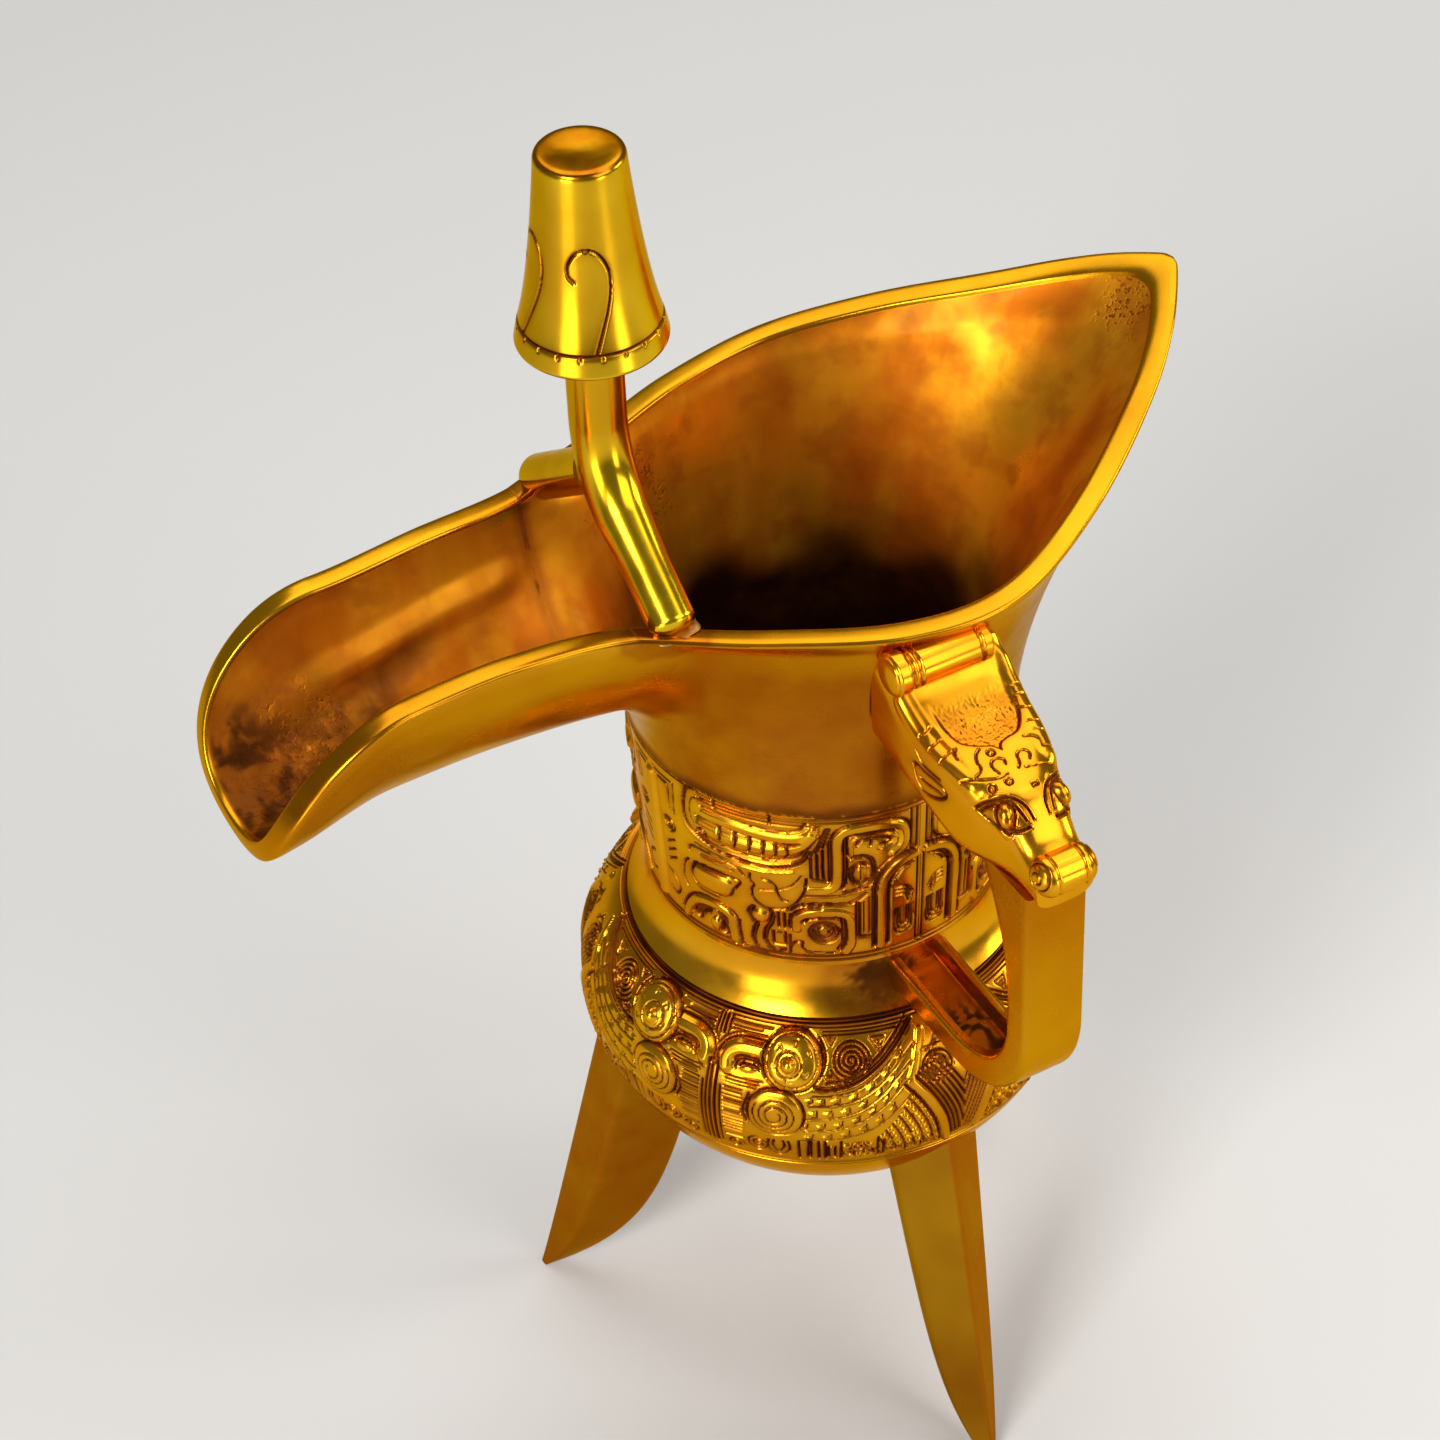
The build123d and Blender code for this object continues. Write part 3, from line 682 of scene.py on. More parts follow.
    def sweep(self, patch: Carving) -> None:
        """The sweeping tail band with the comb field beside the handle."""
        band = smooth(
            (42.4, 115.3), (40.2, 114.7), (38.6, 113.6), (37.4, 111.6), (37, 109), (37, 104), (37, 98.2),
        )
        patch.draw(BAND, band)
        patch.draw(DEEP, beside(band, -1.0), beside(band, 1.05)[4:])
        for gap in (0, 0.8, 1.6):
            reach = 1.0 - 0.4 * gap
            loop = (
                (40.6 - 1.3 * reach, 104.8), (40.6 - 1.3 * reach, 100.2 + gap), (40.6, 99.4 + gap),
                (40.6 + 1.3 * reach, 100.2 + gap), (40.6 + 1.3 * reach, 104.8),
            )
            patch.draw(
                LINE,
                smooth((39.4, 109.4 - gap), (40.8, 109.0 - gap), (41.8 - 0.3 * gap, 107.4 - gap)),
                smooth(*loop),
            )
        patch.draw(
            LINE,
            beside(band, -1.75)[:26],
            beside(band, 1.85)[10:30],
            *(straight((u, 116.6), (u, 124.6)) for u in (41.5, 42.4)),
            straight((42.7, 96.8), (42.7, 114.4)),
        )

    def borders(self, patch: Carving) -> None:
        """Grooves along the top and the foot of the frieze."""
        patch.draw(HAIR, straight((28.6, 124.6), (self.width, 124.6)))
        patch.draw(
            LINE,
            straight((0, 125.5), (8, 125.5)),
            straight((28, 125.4), (self.width, 125.4)),
            straight((0, 97.1), (self.width, 97.1)),
            straight((0, 96.2), (self.width, 96.2)),
        )


@dataclass
class OwlBand:
    """Half of an owl on the belly, from its axis to the line between two owls.

    Places across are measured on the widest ring from the leg's line, and up from that ring.
    """

    axis: float = 1.4
    width: float = 39.9
    low: float = -10.4
    high: float = 17.3

    def carve(self, patch: Carving) -> None:
        """Draw every part of the owl."""
        parts = (
            self.crown, self.brow, self.eye, self.leaf, self.wing,
            self.curl, self.chest, self.flank, self.foot,
        )
        for part in parts:
            part(patch)

    def crown(self, patch: Carving) -> None:
        """Border grooves, the key fret beside the axis and the thin lines over the eye."""
        end = self.axis + self.width
        patch.draw(DEEP, straight((self.axis, 16.8), (end, 16.8)))
        fret = ((10.2, 15.3), (2.4, 15.3), (2.4, 14))
        patch.draw(
            HAIR,
            straight((self.axis + 0.8, 16), (end, 16)),
            *(straight((19, v), (34.0 - 2.0 * k, v)) for k, v in enumerate((15.4, 14.8))),
            straight(*fret),
            straight((8.4, 14.7), (3.1, 14.7)),
            straight((9.4, 14), (3.1, 14)),
        )
        patch.draw(
            LINE,
            *(straight((self.axis + gap, 13), (self.axis + gap, 15.8)) for gap in (0.35, 1.1)),
            *(straight((self.axis + gap, -8), (self.axis + gap, 8.6)) for gap in (0, 0.75)),
            straight((2.9, -7.6), (2.9, 4.8)),
        )

    def brow(self, patch: Carving) -> None:
        """The raised brow that curls down beside the beak, with echo lines and a nested spiral."""
        brow = smooth((10, 11.6), (7.6, 11.7), (5.4, 11.6), (3.9, 10.9), (3.2, 9.6), (3.3, 8.4))
        patch.draw(RIB, brow)
        nest = smooth((4.9, 8.4), (5.4, 9.7), (7.2, 10.1), (9, 9.6), (10.2, 7.9))
        patch.draw(LINE, beside(brow, -1.6), beside(brow, 1.45)[6:-14], nest, beside(nest, -0.75)[5:-8])
        patch.boss((7, 8.6), 1.3, 0.55, 0.3, 2.0)
        patch.draw(HAIR, beside(brow, -2.3)[4:])
        for k in range(3):
            start, drop = (3.2 + 0.4 * k, 7.0 - 0.65 * k), 0.6 * k
            patch.draw(HAIR, smooth(start, (5.4, 6.9 - drop), (9.6 - 0.5 * k, 7.0 - drop)))

    def eye(self, patch: Carving) -> None:
        """The round eye: a raised rim, a dome with notches and a ball in the middle."""
        centre = (14.2, 11)
        patch.boss(centre, 4.7, 4.7, 1.5, 2.6)
        patch.draw(LINE, ring(centre, 4.95))
        patch.boss((13.7, 10.5), 1.5, 1.5, 2.5, 2.0)
        patch.draw(HAIR, ring(centre, 4.0), ring((13.7, 10.5), 1.95))
        for turn in np.radians(np.arange(6) * 60.0 + 15.0):
            way = np.array([math.cos(turn), math.sin(turn)])
            side = np.array([-way[1], way[0]])
            hook = np.array([centre + 2.3 * way, centre + 3.1 * way, centre + 2.9 * way + 0.8 * side])
            patch.draw(FINE, hook)

    def leaf(self, patch: Carving) -> None:
        """The spiral disc beside the eye inside its pointed field."""
        for u, v, size in ((20.4, 14.2, 0.9), (28.4, 13.2, 1.3), (20.2, 8.2, 1)):
            for reach in (size, 0.4 * size):
                corners = ((u - reach, v + 0.6 * reach), (u + reach, v + 0.6 * reach), (u, v - reach))
                patch.draw(HAIR, straight(*corners, corners[0]))
        edge = smooth((17.9, 6.9), (20, 6.7), (24, 7.6), (28, 9.9), (31, 12.3), (34.8, 15.5))
        patch.draw(DEEP, edge)
        patch.draw(
            LINE,
            spiral((23.6, 10.9), 3.5, 0.78, 4.2, 200.0),
            beside(edge, 0.95)[8:],
            smooth((17.6, 7.4), (18.6, 8.8), (19.4, 10.6), (19.3, 12.8), (18.4, 14.6)),
        )

    def wing(self, patch: Carving) -> None:
        """Feather bands that sweep up to the side, with small hooked ticks in staggered rows."""
        bands = (
            smooth((35, 14.6), (32, 12), (28, 8.6), (24, 6.3), (20, 5.6), (17.4, 5.6)),
            smooth((34.6, 12), (31.6, 9.8), (28, 6.8), (24, 4.6), (20, 3.9), (17, 3.9)),
            smooth((33.4, 9.4), (31, 7.6), (28, 4.9), (24.4, 2.6), (20.4, 1.6), (16.6, 1.4)),
            smooth((32.4, 6.8), (30.4, 5), (27.6, 2.4), (24, 0.2), (20, -0.9), (16, -1.2)),
            smooth((33, 4.6), (31, 2.6), (28, -0.2), (24.2, -2.2), (20, -3.2), (15.6, -3.4)),
        )
        patch.draw(HAIR, *bands)
        for row, (upper, lower) in enumerate(zip(bands[:-1], bands[1:])):
            rungs = slice(10 + 4 * (row % 2), 54, 7)
            for a, b, along in zip(upper[rungs], lower[rungs], np.gradient(lower, axis=0)[rungs]):
                patch.draw(
                    HAIR,
                    np.array([a + 0.35 * (b - a), a + 0.85 * (b - a), a + 0.85 * (b - a) + 2.0 * along]),
                )
                patch.draw(BEAD, np.array([a + 0.45 * (b - a) + along, a + 0.5 * (b - a) + 3.0 * along]))
        patch.draw(BAND, smooth((35.8, 13.4), (34.6, 10.6), (33.4, 7.8), (32.6, 6.4)))

    def curl(self, patch: Carving) -> None:
        """The raised curl under the eye."""
        centre = (11.8, 2)
        patch.boss(centre, 4.1, 4.1, 0.8, 3.0)
        patch.draw(LINE, ring(centre, 4.4))
        patch.draw(HAIR, spiral(centre, 3.4, 0.95, 2.7, 150.0))

    def chest(self, patch: Carving) -> None:
        """Fine level hatching beside the axis."""
        rows = np.arange(-3.4, 5.0, 0.7)
        patch.draw(HAIR, *(straight((3.5, v), (7.0 - 0.12 * abs(v), v)) for v in rows))
        patch.draw(LINE, straight((7.4, -0.6), (6.6, 1.4), (7.6, 4.8)))

    def flank(self, patch: Carving) -> None:
        """The smooth raised band between two owls, with grooves, nested lozenges and a lattice."""
        band = smooth((32.6, 6.4), (34.6, 3.4), (36.1, 0.4), (37.4, -3.2), (38.6, -8.6))
        patch.draw(BAND, band)
        patch.draw(
            LINE,
            beside(band, -1.05),
            *(beside(band, gap) for gap in (1.05, 1.75, 2.45, 3.25, 4.05, 4.85, 5.65)),
        )
        for reach in (0.9, 1.7, 2.5):
            patch.draw(LINE, ring((37.4, 7.3), reach))
            peak = 12.2 - 0.9 * (reach - 0.9)
            low = reach * 0.5
            patch.draw(HAIR, straight((37.4 - 0.9 * reach, 9.4 + low), (38.2, peak), (39.6, 9.6 + low)))
        for k in range(6):
            line = beside(band, -2.1 - 1.5 * k)[6 + 3 * k : 44 - k]
            patch.draw(HAIR, line)
            for u, v in beside(band, -1.5 - 1.5 * k)[7 + 3 * k : 43 - k : 4]:
                patch.boss((u, v), 0.45, 0.5, 0.4, 4.0)

    def foot(self, patch: Carving) -> None:
        """Curls, rings and upright grooves along the lower edge."""
        for gap in (0, 0.8):
            cup = (
                (10.6 + gap, -4), (10.4 + gap, -6.4 + gap), (12, -7.9 + gap), (13.7 - gap, -6.4 + gap),
                (13.6 - gap, -4),
            )
            patch.draw(LINE, smooth(*cup))
        patch.draw(DEEP, straight((16.9, -3.8), (16.7, -8.2)))
        patch.draw(
            LINE,
            straight((self.axis, -9.5), (self.axis + self.width, -9.5)),
            spiral((9, -5.7), 1.9, 0.8, 2.1, 100.0),
            *(straight((u, -8.4), (u, -3.6)) for u in (15.2, 18.2, 19.2, 21.6, 27.2, 28.1)),
            ring((24.2, -5.4), 1.3),
            boxed((20.2, -6.4), 0.5, 1.6),
            ring((24.2, -5.4), 0.5),
            straight((3.8, -4.9), (6.6, -4.9)),
            spiral((5.2, -7), 1.4, 0.75, 1.6, 0.0),
        )
        for k, u in enumerate((22.6, 25.6, 29.9, 32.4, 34.8)):
            patch.draw(LINE, spiral((u, -7), 1.1, 0.6, -1.4, 40.0 + 70.0 * k))
            patch.boss((u + 1.5, -7.4), 0.5, 0.8, 0.45, 3.0)
            patch.boss((u - 0.1, -4.6), 0.8, 0.45, 0.4, 3.0)


@dataclass
class UpperBody:
    """Mouth and spout: one wall that flares from the neck to the rim and runs out as a trough."""

    wall: float = 3.6
    neck_radius: float = 28.3
    neck_z: float = 125.8
    neck_slope: float = 0.05
    seam_x: float = -38.0
    tail_slope: float = 0.97
    side_slope: float = 0.33
    fullness: float = 0.4
    lip_fullness: float = 0.24
    lip_thin: float = 0.3
    beak_z: float = 141.5
    reach: float = -90.6
    lip: Spot = (-90.4, 131.0)
    corner: Spot = (-70.15, 165.3)
    edge_drop: float = 0.8
    edge_deep: float = 4.0
    edge_power: float = 3.6
    edge_rows: int = 13
    edge_turn: Spot = (-50.0, -72.0)
    lip_span: Spot = (-70.0, -89.5)
    crust_span: Spot = (-62.0, -70.0)
    square_span: Spot = (-24.0, -37.0)
    flow_span: Spot = (2.0, -36.0)
    spread_x: float = 4.0
    spout_rows: int = 111
    spout_columns: int = 121
    outer_rows: int = 88
    inner_rows: int = 100
    rim_columns: int = 190
    seam_columns: int = 61
    rubbing: int = 70
    ridge_rise: float = 0.9
    hollow_fall: float = 0.5
    head_root: Place = (-7.5, -30.5, 139.0)
    post_foot: Place = (-33.5, -19.0, 164.8)
    rim_heights: Points = (
        (58.6, 179.0), (43.0, 171.9), (27.0, 167.1), (11.0, 163.3), (-3.0, 162.1), (-21.6, 163.0),
        (-38.0, 165.3), (-54.0, 166.2), (-70.15, 165.3), (-92.0, 164.8),
    )
    rim_plan: Points = (
        (58.6, 0.0), (57.6, 2.6), (51.8, 10.2), (43.0, 18.2), (26.9, 29.2), (10.7, 35.7), (-5.4, 34.0),
        (-21.6, 27.0), (-38.0, 19.1),
    )
    inner_plan: Points = (
        (53.8, 0.0), (53.1, 2.6), (48.8, 8.2), (40.7, 15.4), (25.2, 26.0), (10.2, 32.1), (-4.5, 30.5),
        (-20.4, 23.7), (-38.0, 15.5),
    )
    half_widths: Points = (
        (-92.0, 16.9), (-79.0, 16.9), (-66.6, 16.3), (-54.0, 16.9), (-38.0, 19.1), (-22.0, 26.9),
    )
    keel_heights: Points = (
        (-92.0, 140.2), (-85.0, 140.4), (-79.0, 140.7), (-66.6, 140.9), (-54.0, 140.9), (-38.0, 140.0),
        (-22.0, 139.0),
    )

    @staticmethod
    def along(points: Points, x: Array) -> Array:
        """Value at x of the smooth curve through (x, value) points."""
        curve = through(points, 600)
        order = np.argsort(curve[:, 0])
        return np.interp(x, curve[order, 0], curve[order, 1])

    def section(self, x: Array, turn: Array, inset: float) -> Array:
        """Trough at x: a cubic Bezier from the rim straight down and round to the keel.

        Args:
            x: place along the vessel.
            turn: -1 at the near rim, 0 at the keel, 1 at the far rim.
            inset: distance in from the outer face.

        Returns:
            The points of the section.
        """
        lip = ease(*self.lip_span, x)
        full = self.fullness + self.lip_fullness * lip
        half = self.along(self.half_widths, x) - inset
        keel = self.along(self.keel_heights, x) + inset * (1.0 - self.lip_thin * lip)
        top = self.along(self.rim_heights, x)
        t = 1.0 - np.abs(turn)
        s = 1.0 - t
        y = half * (s**3 + 3 * s * s * t + 3 * full * s * t * t)
        z = top * (s**3 + 3 * s * s * t * (1 - full)) + keel * (3 * s * s * t * full + 3 * s * t * t + t**3)
        return joined(x + 0 * y, np.sign(turn) * y, z)

    def end_view(self) -> Array:
        """Side view of the spout's end as (x, z): from the rim round the corner and down the lip."""
        x, z = self.corner
        beak = (self.reach, self.beak_z)
        above, below = ((self.reach, (self.beak_z + level) / 2) for level in (z, self.lip[1]))
        corner = bezier((self.corner, (x - 10.3, z - 0.9), above, beak), 80)
        lip = bezier((beak, below, self.lip), 40)
        return np.vstack([corner, lip[1:]])

    def end_reach(self, turn: Array) -> Array:
        """Where each line of the trough stops: its height is looked up on the end's side view."""
        side = self.end_view()[::-1]
        x = np.full(turn.shape, self.reach)
        for _ in range(20):
            x = 0.5 * x + 0.5 * np.interp(self.section(x, turn, 0.0)[..., 2], side[:, 1], side[:, 0])
        return x

    def edge_shift(self, points: Array) -> Array:
        """How far the wall gives way to its rounded edge.

        The upper edge is taken in side view. Each point moves down, and on the lip square to the nearest
        place on it, by the whole drop at the edge and by nothing deeper than the given depth.

        Args:
            points: points of the wall.

        Returns:
            The move of each point.
        """
        x = np.linspace(self.rim_plan[0][0], self.corner[0], 320)
        line = np.vstack([joined(x, self.along(self.rim_heights, x)), self.end_view()[1:]])
        slope = unit(np.gradient(line, axis=0))
        flat = points.reshape(-1, 3)[:, ::2]
        square = (flat**2).sum(axis=1)[:, None] + (line**2).sum(axis=1) - 2.0 * flat @ line.T
        near = square.argmin(axis=1)
        depth = np.sqrt(np.maximum(square[np.arange(len(flat)), near], 0.0))
        level = ease(*self.edge_turn, line[near, 0])
        down = level * (slope[near, 0] + 1.0) - 1.0
        inward = joined(-level * slope[near, 1], 0.0 * depth, down)
        return (self.edge_drop * ease(self.edge_deep, 0.0, depth)[:, None] * inward).reshape(points.shape)

    def rounded_edge(self, outer: Array, inner: Array) -> Array:
        """The top of the wall from its outer to its inner edge line: half of a superellipse across.

        Args:
            outer: the outer edge line.
            inner: the inner edge line.

        Returns:
            Rows from the outer edge to the inner one.
        """
        share = (0.5 - 0.5 * np.cos(np.linspace(0.0, math.pi, self.edge_rows)))[:, None, None]
        strip = outer + (inner - outer) * share
        power = self.edge_power
        drop = 1.0 - np.maximum(1.0 - np.abs(2.0 * share - 1.0) ** power, 0.0) ** (1.0 / power)
        return strip + self.edge_shift(strip) * drop

    def spout_sheets(self) -> list[Sheet]:
        """Trough lines from the seam to the end, outside and inside, with the ground edge between."""
        turn = np.sin(np.linspace(-1.0, 1.0, self.spout_columns) * math.pi / 2)
        way = (np.linspace(0.0, 1.0, self.spout_rows) ** 1.3)[:, None]
        x = self.seam_x + (self.end_reach(turn)[None, :] - self.seam_x) * way
        turns = np.broadcast_to(turn, x.shape)
        outer = self.section(x, turns, 0.0)
        inner = self.section(x, turns, self.wall)
        edge = (np.abs(turns) > 1 - 1e-9) | (way > 1 - 1e-9)
        marks = np.where(edge, 1.0, 0.0)
        ridge, hollow = self.folds(x, turns)
        inner[..., 1] -= self.ridge_rise * ridge - self.hollow_fall * hollow
        tones = self.inside_tones(inner, 1.0 - marks)
        rough = tones["pitted"] * ease(*self.crust_span, x) * (1.0 - marks)
        inner[..., 2] += rough * (crust(inner, 0.45, 2.9) + crust(inner, 0.35, 4.7))
        tones["recess"] = np.maximum(tones["recess"], 0.6 * hollow)
        sides = [(outer[:, k], inner[:, k]) for k in (0, -1)] + [(outer[k], inner[k]) for k in (-1, 0)]
        strips = [self.rounded_edge(first, second) for first, second in sides]
        outer = outer + self.edge_shift(outer)
        inner = inner + self.edge_shift(inner)
        tones["stain"] = np.where(edge, self.foot_stain(inner), tones["stain"])
        plain = [Sheet(points, tones={"stain": self.foot_stain(points)}) for points in (outer, *strips)]
        return [Sheet(inner, tones=tones), *plain]

    @staticmethod
    def folds(x: Array, turn: Array) -> tuple[Array, Array]:
        """A casting ridge along the spout's far inner side, and the hollow below it.

        Args:
            x: place along the vessel.
            turn: -1 at the near rim, 0 at the keel, 1 at the far rim.

        Returns:
            The shares of the ridge and of the hollow at each place.
        """
        span = ease(-38.5, -47.0, x) * ease(-84.0, -68.0, x)
        ridge = ease(0.11, 0.0, np.abs(turn - 0.68 - 0.0034 * (x + 38.0)))
        hollow = ease(0.12, 0.0, np.abs(turn - 0.32 - 0.008 * (x + 81.3))) * ease(-50.0, -60.0, x)
        return span * ridge, hollow * ease(-89.0, -80.0, x)

    def inside_tones(self, points: Array, below_rim: Array) -> dict[str, Array]:
        """Brown on the inner wall, painted shade deep in the bowl, soot behind the lip, rust along the
        spout's seam.

        Args:
            points: the inner wall.
            below_rim: 0 on the ground edge and 1 everywhere else.

        Returns:
            The tones at the points.
        """
        x, z = points[..., 0], points[..., 2]
        sway = ripple(points, 1.0, 17.0)
        # painted shade: darker deep down in the bowl where the mouth meets the neck, carried in the soot
        # tone
        deep = ease(138.0, 125.5, z + 5.0 * sway) * ease(-44.0, -30.0, x)
        keel = self.along(self.keel_heights, x)
        lip = ease(-54.0, -80.0, x + 5.0 * sway) * ease(keel + 17.0, keel + 5.0, z + 4.0 * sway)
        broken = ease(-0.25, 0.25, ripple(points, 1.0, 7.0))
        gap = np.abs(x - self.seam_x)
        seam = 0.85 * ease(0.7, 0.2, gap) * ease(0.45, 0.95, broken)
        ragged = ease(-0.4, 0.45, crust(points, 0.7, 11.0) + crust(points, 0.5, 4.1))
        return {
            "inside": below_rim,
            "soot": np.maximum(deep, 0.85 * lip * ragged) * below_rim,
            "recess": np.maximum(seam, 0.55 * lip) * below_rim,
            "pitted": self.pits(points) * below_rim,
            "stain": np.maximum(
                self.foot_stain(points), np.maximum(0.6 * ease(2.0, 0.3, gap), lip) * below_rim
            ),
        }

    def foot_stain(self, points: Array) -> Array:
        """Heat stain on the rim around the near foot of the post."""
        gap = np.linalg.norm((points - np.array(self.post_foot)) * np.array([0.7, 1.0, 1.3]), axis=-1)
        return ease(6.5, 3.0, gap + ripple(points, 0.8, 5.0))

    @staticmethod
    def pits(points: Array) -> Array:
        """Porous casting skin: inside the tail tip, behind the lip and on the far inner wall."""
        spots = (((52.0, -1.0, 173.0), 8.0), ((-77.0, 1.0, 145.0), 13.5), ((-20.0, 22.0, 150.0), 12.0))
        ragged = ripple(points, 0.3, 6.0)
        gaps = [np.linalg.norm(points - spot, axis=-1) / size for spot, size in spots]
        return np.maximum.reduce([ease(1.0, 0.3, gap + ragged) for gap in gaps])

    def outside_tones(self, points: Array) -> dict[str, Array]:
        """Stain along the joint with the neck, a rust wash under the root of the head, and painted shade:
        darker low on the outer wall and below the rim towards the spout.
        """
        z = points[..., 2]
        joint = ease(128.6, 126.0, z + 0.7 * ripple(points, 1.0, 9.0))
        away = (points - np.array(self.head_root)) * np.array([1.0, 1.0, 0.6])
        root = ease(7.5, 1.5, np.linalg.norm(away, axis=-1))
        # painted shade: a darker rust wash low on the outer wall near the neck and below the rim towards the
        # spout
        drop = self.along(self.rim_heights, points[..., 0]) - z
        warm = 0.7 * ease(-38.0, -22.0, points[..., 0]) * ease(2.0, 14.0, drop)
        toned = np.maximum.reduce([0.9 * root, ease(136.0, 126.0, z) * 0.55, warm])
        return {"recess": 0.9 * joint, "stain": np.maximum(toned, self.foot_stain(points))}

    def rim_loop(self, inset: float) -> tuple[Array, Array]:
        """Half of the mouth's upper edge, from the tail along the near rim and down the seam.

        Args:
            inset: distance in from the outer face.

        Returns:
            The points of the edge, and the directions in which the wall arrives there.
        """
        plan = evenly(through(self.rim_plan, 3000), self.rim_columns)
        slope = unit(np.gradient(plan, axis=0))
        outward = joined(slope[:, 1], -slope[:, 0])
        level = ease(*self.square_span, plan[:, 0])[:, None]
        outward = unit(outward * (1 - level) + np.array([0.0, 1.0]) * level)
        moved = evenly(through(self.inner_plan, 3000), len(plan)) if inset else plan
        rim = joined(moved[:, 0], -moved[:, 1], self.along(self.rim_heights, moved[:, 0]))
        ahead = self.tail_slope * np.maximum(outward[:, 0], 0)
        rise = joined(ahead, -self.side_slope * outward[:, 1], np.ones(len(plan)))
        turn = -np.linspace(1.0, 0.0, self.seam_columns)
        here = np.full(turn.shape, self.seam_x)
        seam = self.section(here, turn, inset)
        run = unit(self.section(here - 2.0, turn, inset) - seam)
        mix = ease(*self.flow_span, rim[:, 0])[:, None]
        arrive = unit(unit(rise) * (1 - mix) + run[0] * mix)
        return np.vstack([rim, seam[1:]]), np.vstack([arrive, run[1:]])

    def wall_sheet(self, inset: float, rows: int) -> Array:
        """Wall from the neck's circle to the upper edge: cubics with given end slopes, then rubbed smooth.

        Args:
            inset: distance in from the outer face.
            rows: how many points each line has.

        Returns:
            Rows by columns of points, closed around.
        """
        half, arrive = self.rim_loop(inset)
        mirror = np.array([1.0, -1.0, 1.0])
        edge = np.vstack([half, half[-2:0:-1] * mirror])
        arrive = np.vstack([arrive, arrive[-2:0:-1] * mirror])
        angle = np.arctan2(edge[:, 1], edge[:, 0] - self.spread_x)
        ring = joined(np.cos(angle), np.sin(angle), np.zeros(len(angle)))
        radius = self.neck_radius - inset
        foot = ring * radius + np.array([0.0, 0.0, self.neck_z])
        length = np.linalg.norm(edge - foot, axis=1, keepdims=True)
        leave = unit(ring * self.neck_slope + np.array([0.0, 0.0, 1.0])) * length
        arrive = arrive * length
        t = 1.0 - (1.0 - np.linspace(0.0, 1.0, rows)[:, None, None]) ** 1.35
        wall = (
            foot * (2 * t**3 - 3 * t**2 + 1)
            + leave * (t**3 - 2 * t**2 + t)
            + edge * (3 * t**2 - 2 * t**3)
            + arrive * (t**3 - t**2)
        )
        free = 0.5 * ease(0.0, 0.12, t) * ease(1.0, 0.8, t)
        for _ in range(self.rubbing):
            wall = wall + free * ((np.roll(wall, 1, axis=1) + np.roll(wall, -1, axis=1)) / 2 - wall)
        return wall

    def mouth_sheets(self) -> list[Sheet]:
        """Outer wall up, across the rim, inner wall down and back across the joint with the neck."""
        outer = self.wall_sheet(0.0, self.outer_rows)
        inner = self.wall_sheet(self.wall, self.inner_rows)
        at_seam = np.abs(outer[-1, :, 0] - self.seam_x) < 1e-6
        rim = self.rounded_edge(outer[-1], inner[-1])
        outer = outer + self.edge_shift(outer)
        inner = inner + self.edge_shift(inner)
        foot = np.stack([inner[0], outer[0]])
        share = np.linspace(0.0, 1.0, len(rim))[:, None]
        below_rim = np.ones(inner.shape[:2])
        below_rim[-1] = np.where(at_seam, 1.0, 0.0)
        tones = self.inside_tones(inner, below_rim)
        edge = {name: share * tone[-1] for name, tone in tones.items()}
        edge["stain"] = self.foot_stain(rim)
        joint = {name: np.stack([tone[0], 0 * tone[0]]) for name, tone in tones.items()}
        return [
            Sheet(outer, around=True, tones=self.outside_tones(outer)),
            Sheet(rim, around=True, tones=edge),
            Sheet(inner, around=True, tones=tones),
            Sheet(foot, around=True, tones=joint),
        ]


@dataclass
class Neck:
    """The tapered ring that carries the mask frieze."""

    foot_radius: float = 26.7
    foot_z: float = 95.2
    top_radius: float = 28.3
    top_z: float = 125.8
    wall: float = 3.6
    bed: float = 1.0
    back: float = 1.6
    core_columns: int = 180
    quarter_columns: int = 240
    rows: int = 171

    def core_sheets(self) -> list[Sheet]:
        """The plain ring behind the frieze."""
        angle = angles(self.core_columns)
        radius = np.array([self.foot_radius, self.top_radius])
        reach = np.concatenate([radius - self.bed, (radius - self.wall)[::-1]])[:, None]
        level = np.array([self.foot_z, self.top_z, self.top_z, self.foot_z])[:, None]
        points = revolved(reach, angle, level)
        # the inner face gets full soot and is painted near black: painted shade inside the hollow neck
        inside = np.broadcast_to(np.array([0.0, 0.0, 1.0, 1.0])[:, None], points.shape[:2])
        return [Sheet(points, around=True, along=True, tones={"inside": inside, "soot": inside})]

    def frieze_sheets(self) -> list[list[Sheet]]:
        """Lower and upper carved ring: the cone moved outwards by the frieze's height, and a plain back."""
        frieze = MaskFrieze()
        z = np.linspace(self.foot_z, self.top_z, self.rows)
        across = (np.arange(self.quarter_columns) + 0.5) * frieze.width / self.quarter_columns
        patch = Carving(*np.meshgrid(across, z))
        frieze.carve(patch)
        height = mirrored(patch.height(), 2)
        tones = {name: mirrored(tone, 2) for name, tone in patch.tones().items()}
        columns = height.shape[1]
        angle = -math.pi + (np.arange(columns) + 0.5) * FULL_TURN / columns
        radius = np.interp(z, (self.foot_z, self.top_z), (self.foot_radius, self.top_radius))
        middle = self.rows // 2
        pieces = []
        for rows in (slice(0, middle + 1), slice(middle, self.rows)):
            ends = radius[rows][[-1, 0]][:, None] - self.back + np.zeros((2, columns))
            reach = np.vstack([radius[rows, None] + height[rows], ends])
            level = np.concatenate([z[rows], z[rows][[-1, 0]]])[:, None]
            points = revolved(reach, angle, level)
            toned = {name: np.vstack([tone[rows], np.zeros((2, columns))]) for name, tone in tones.items()}
            pieces.append([Sheet(points, around=True, along=True, tones=toned)])
        return pieces


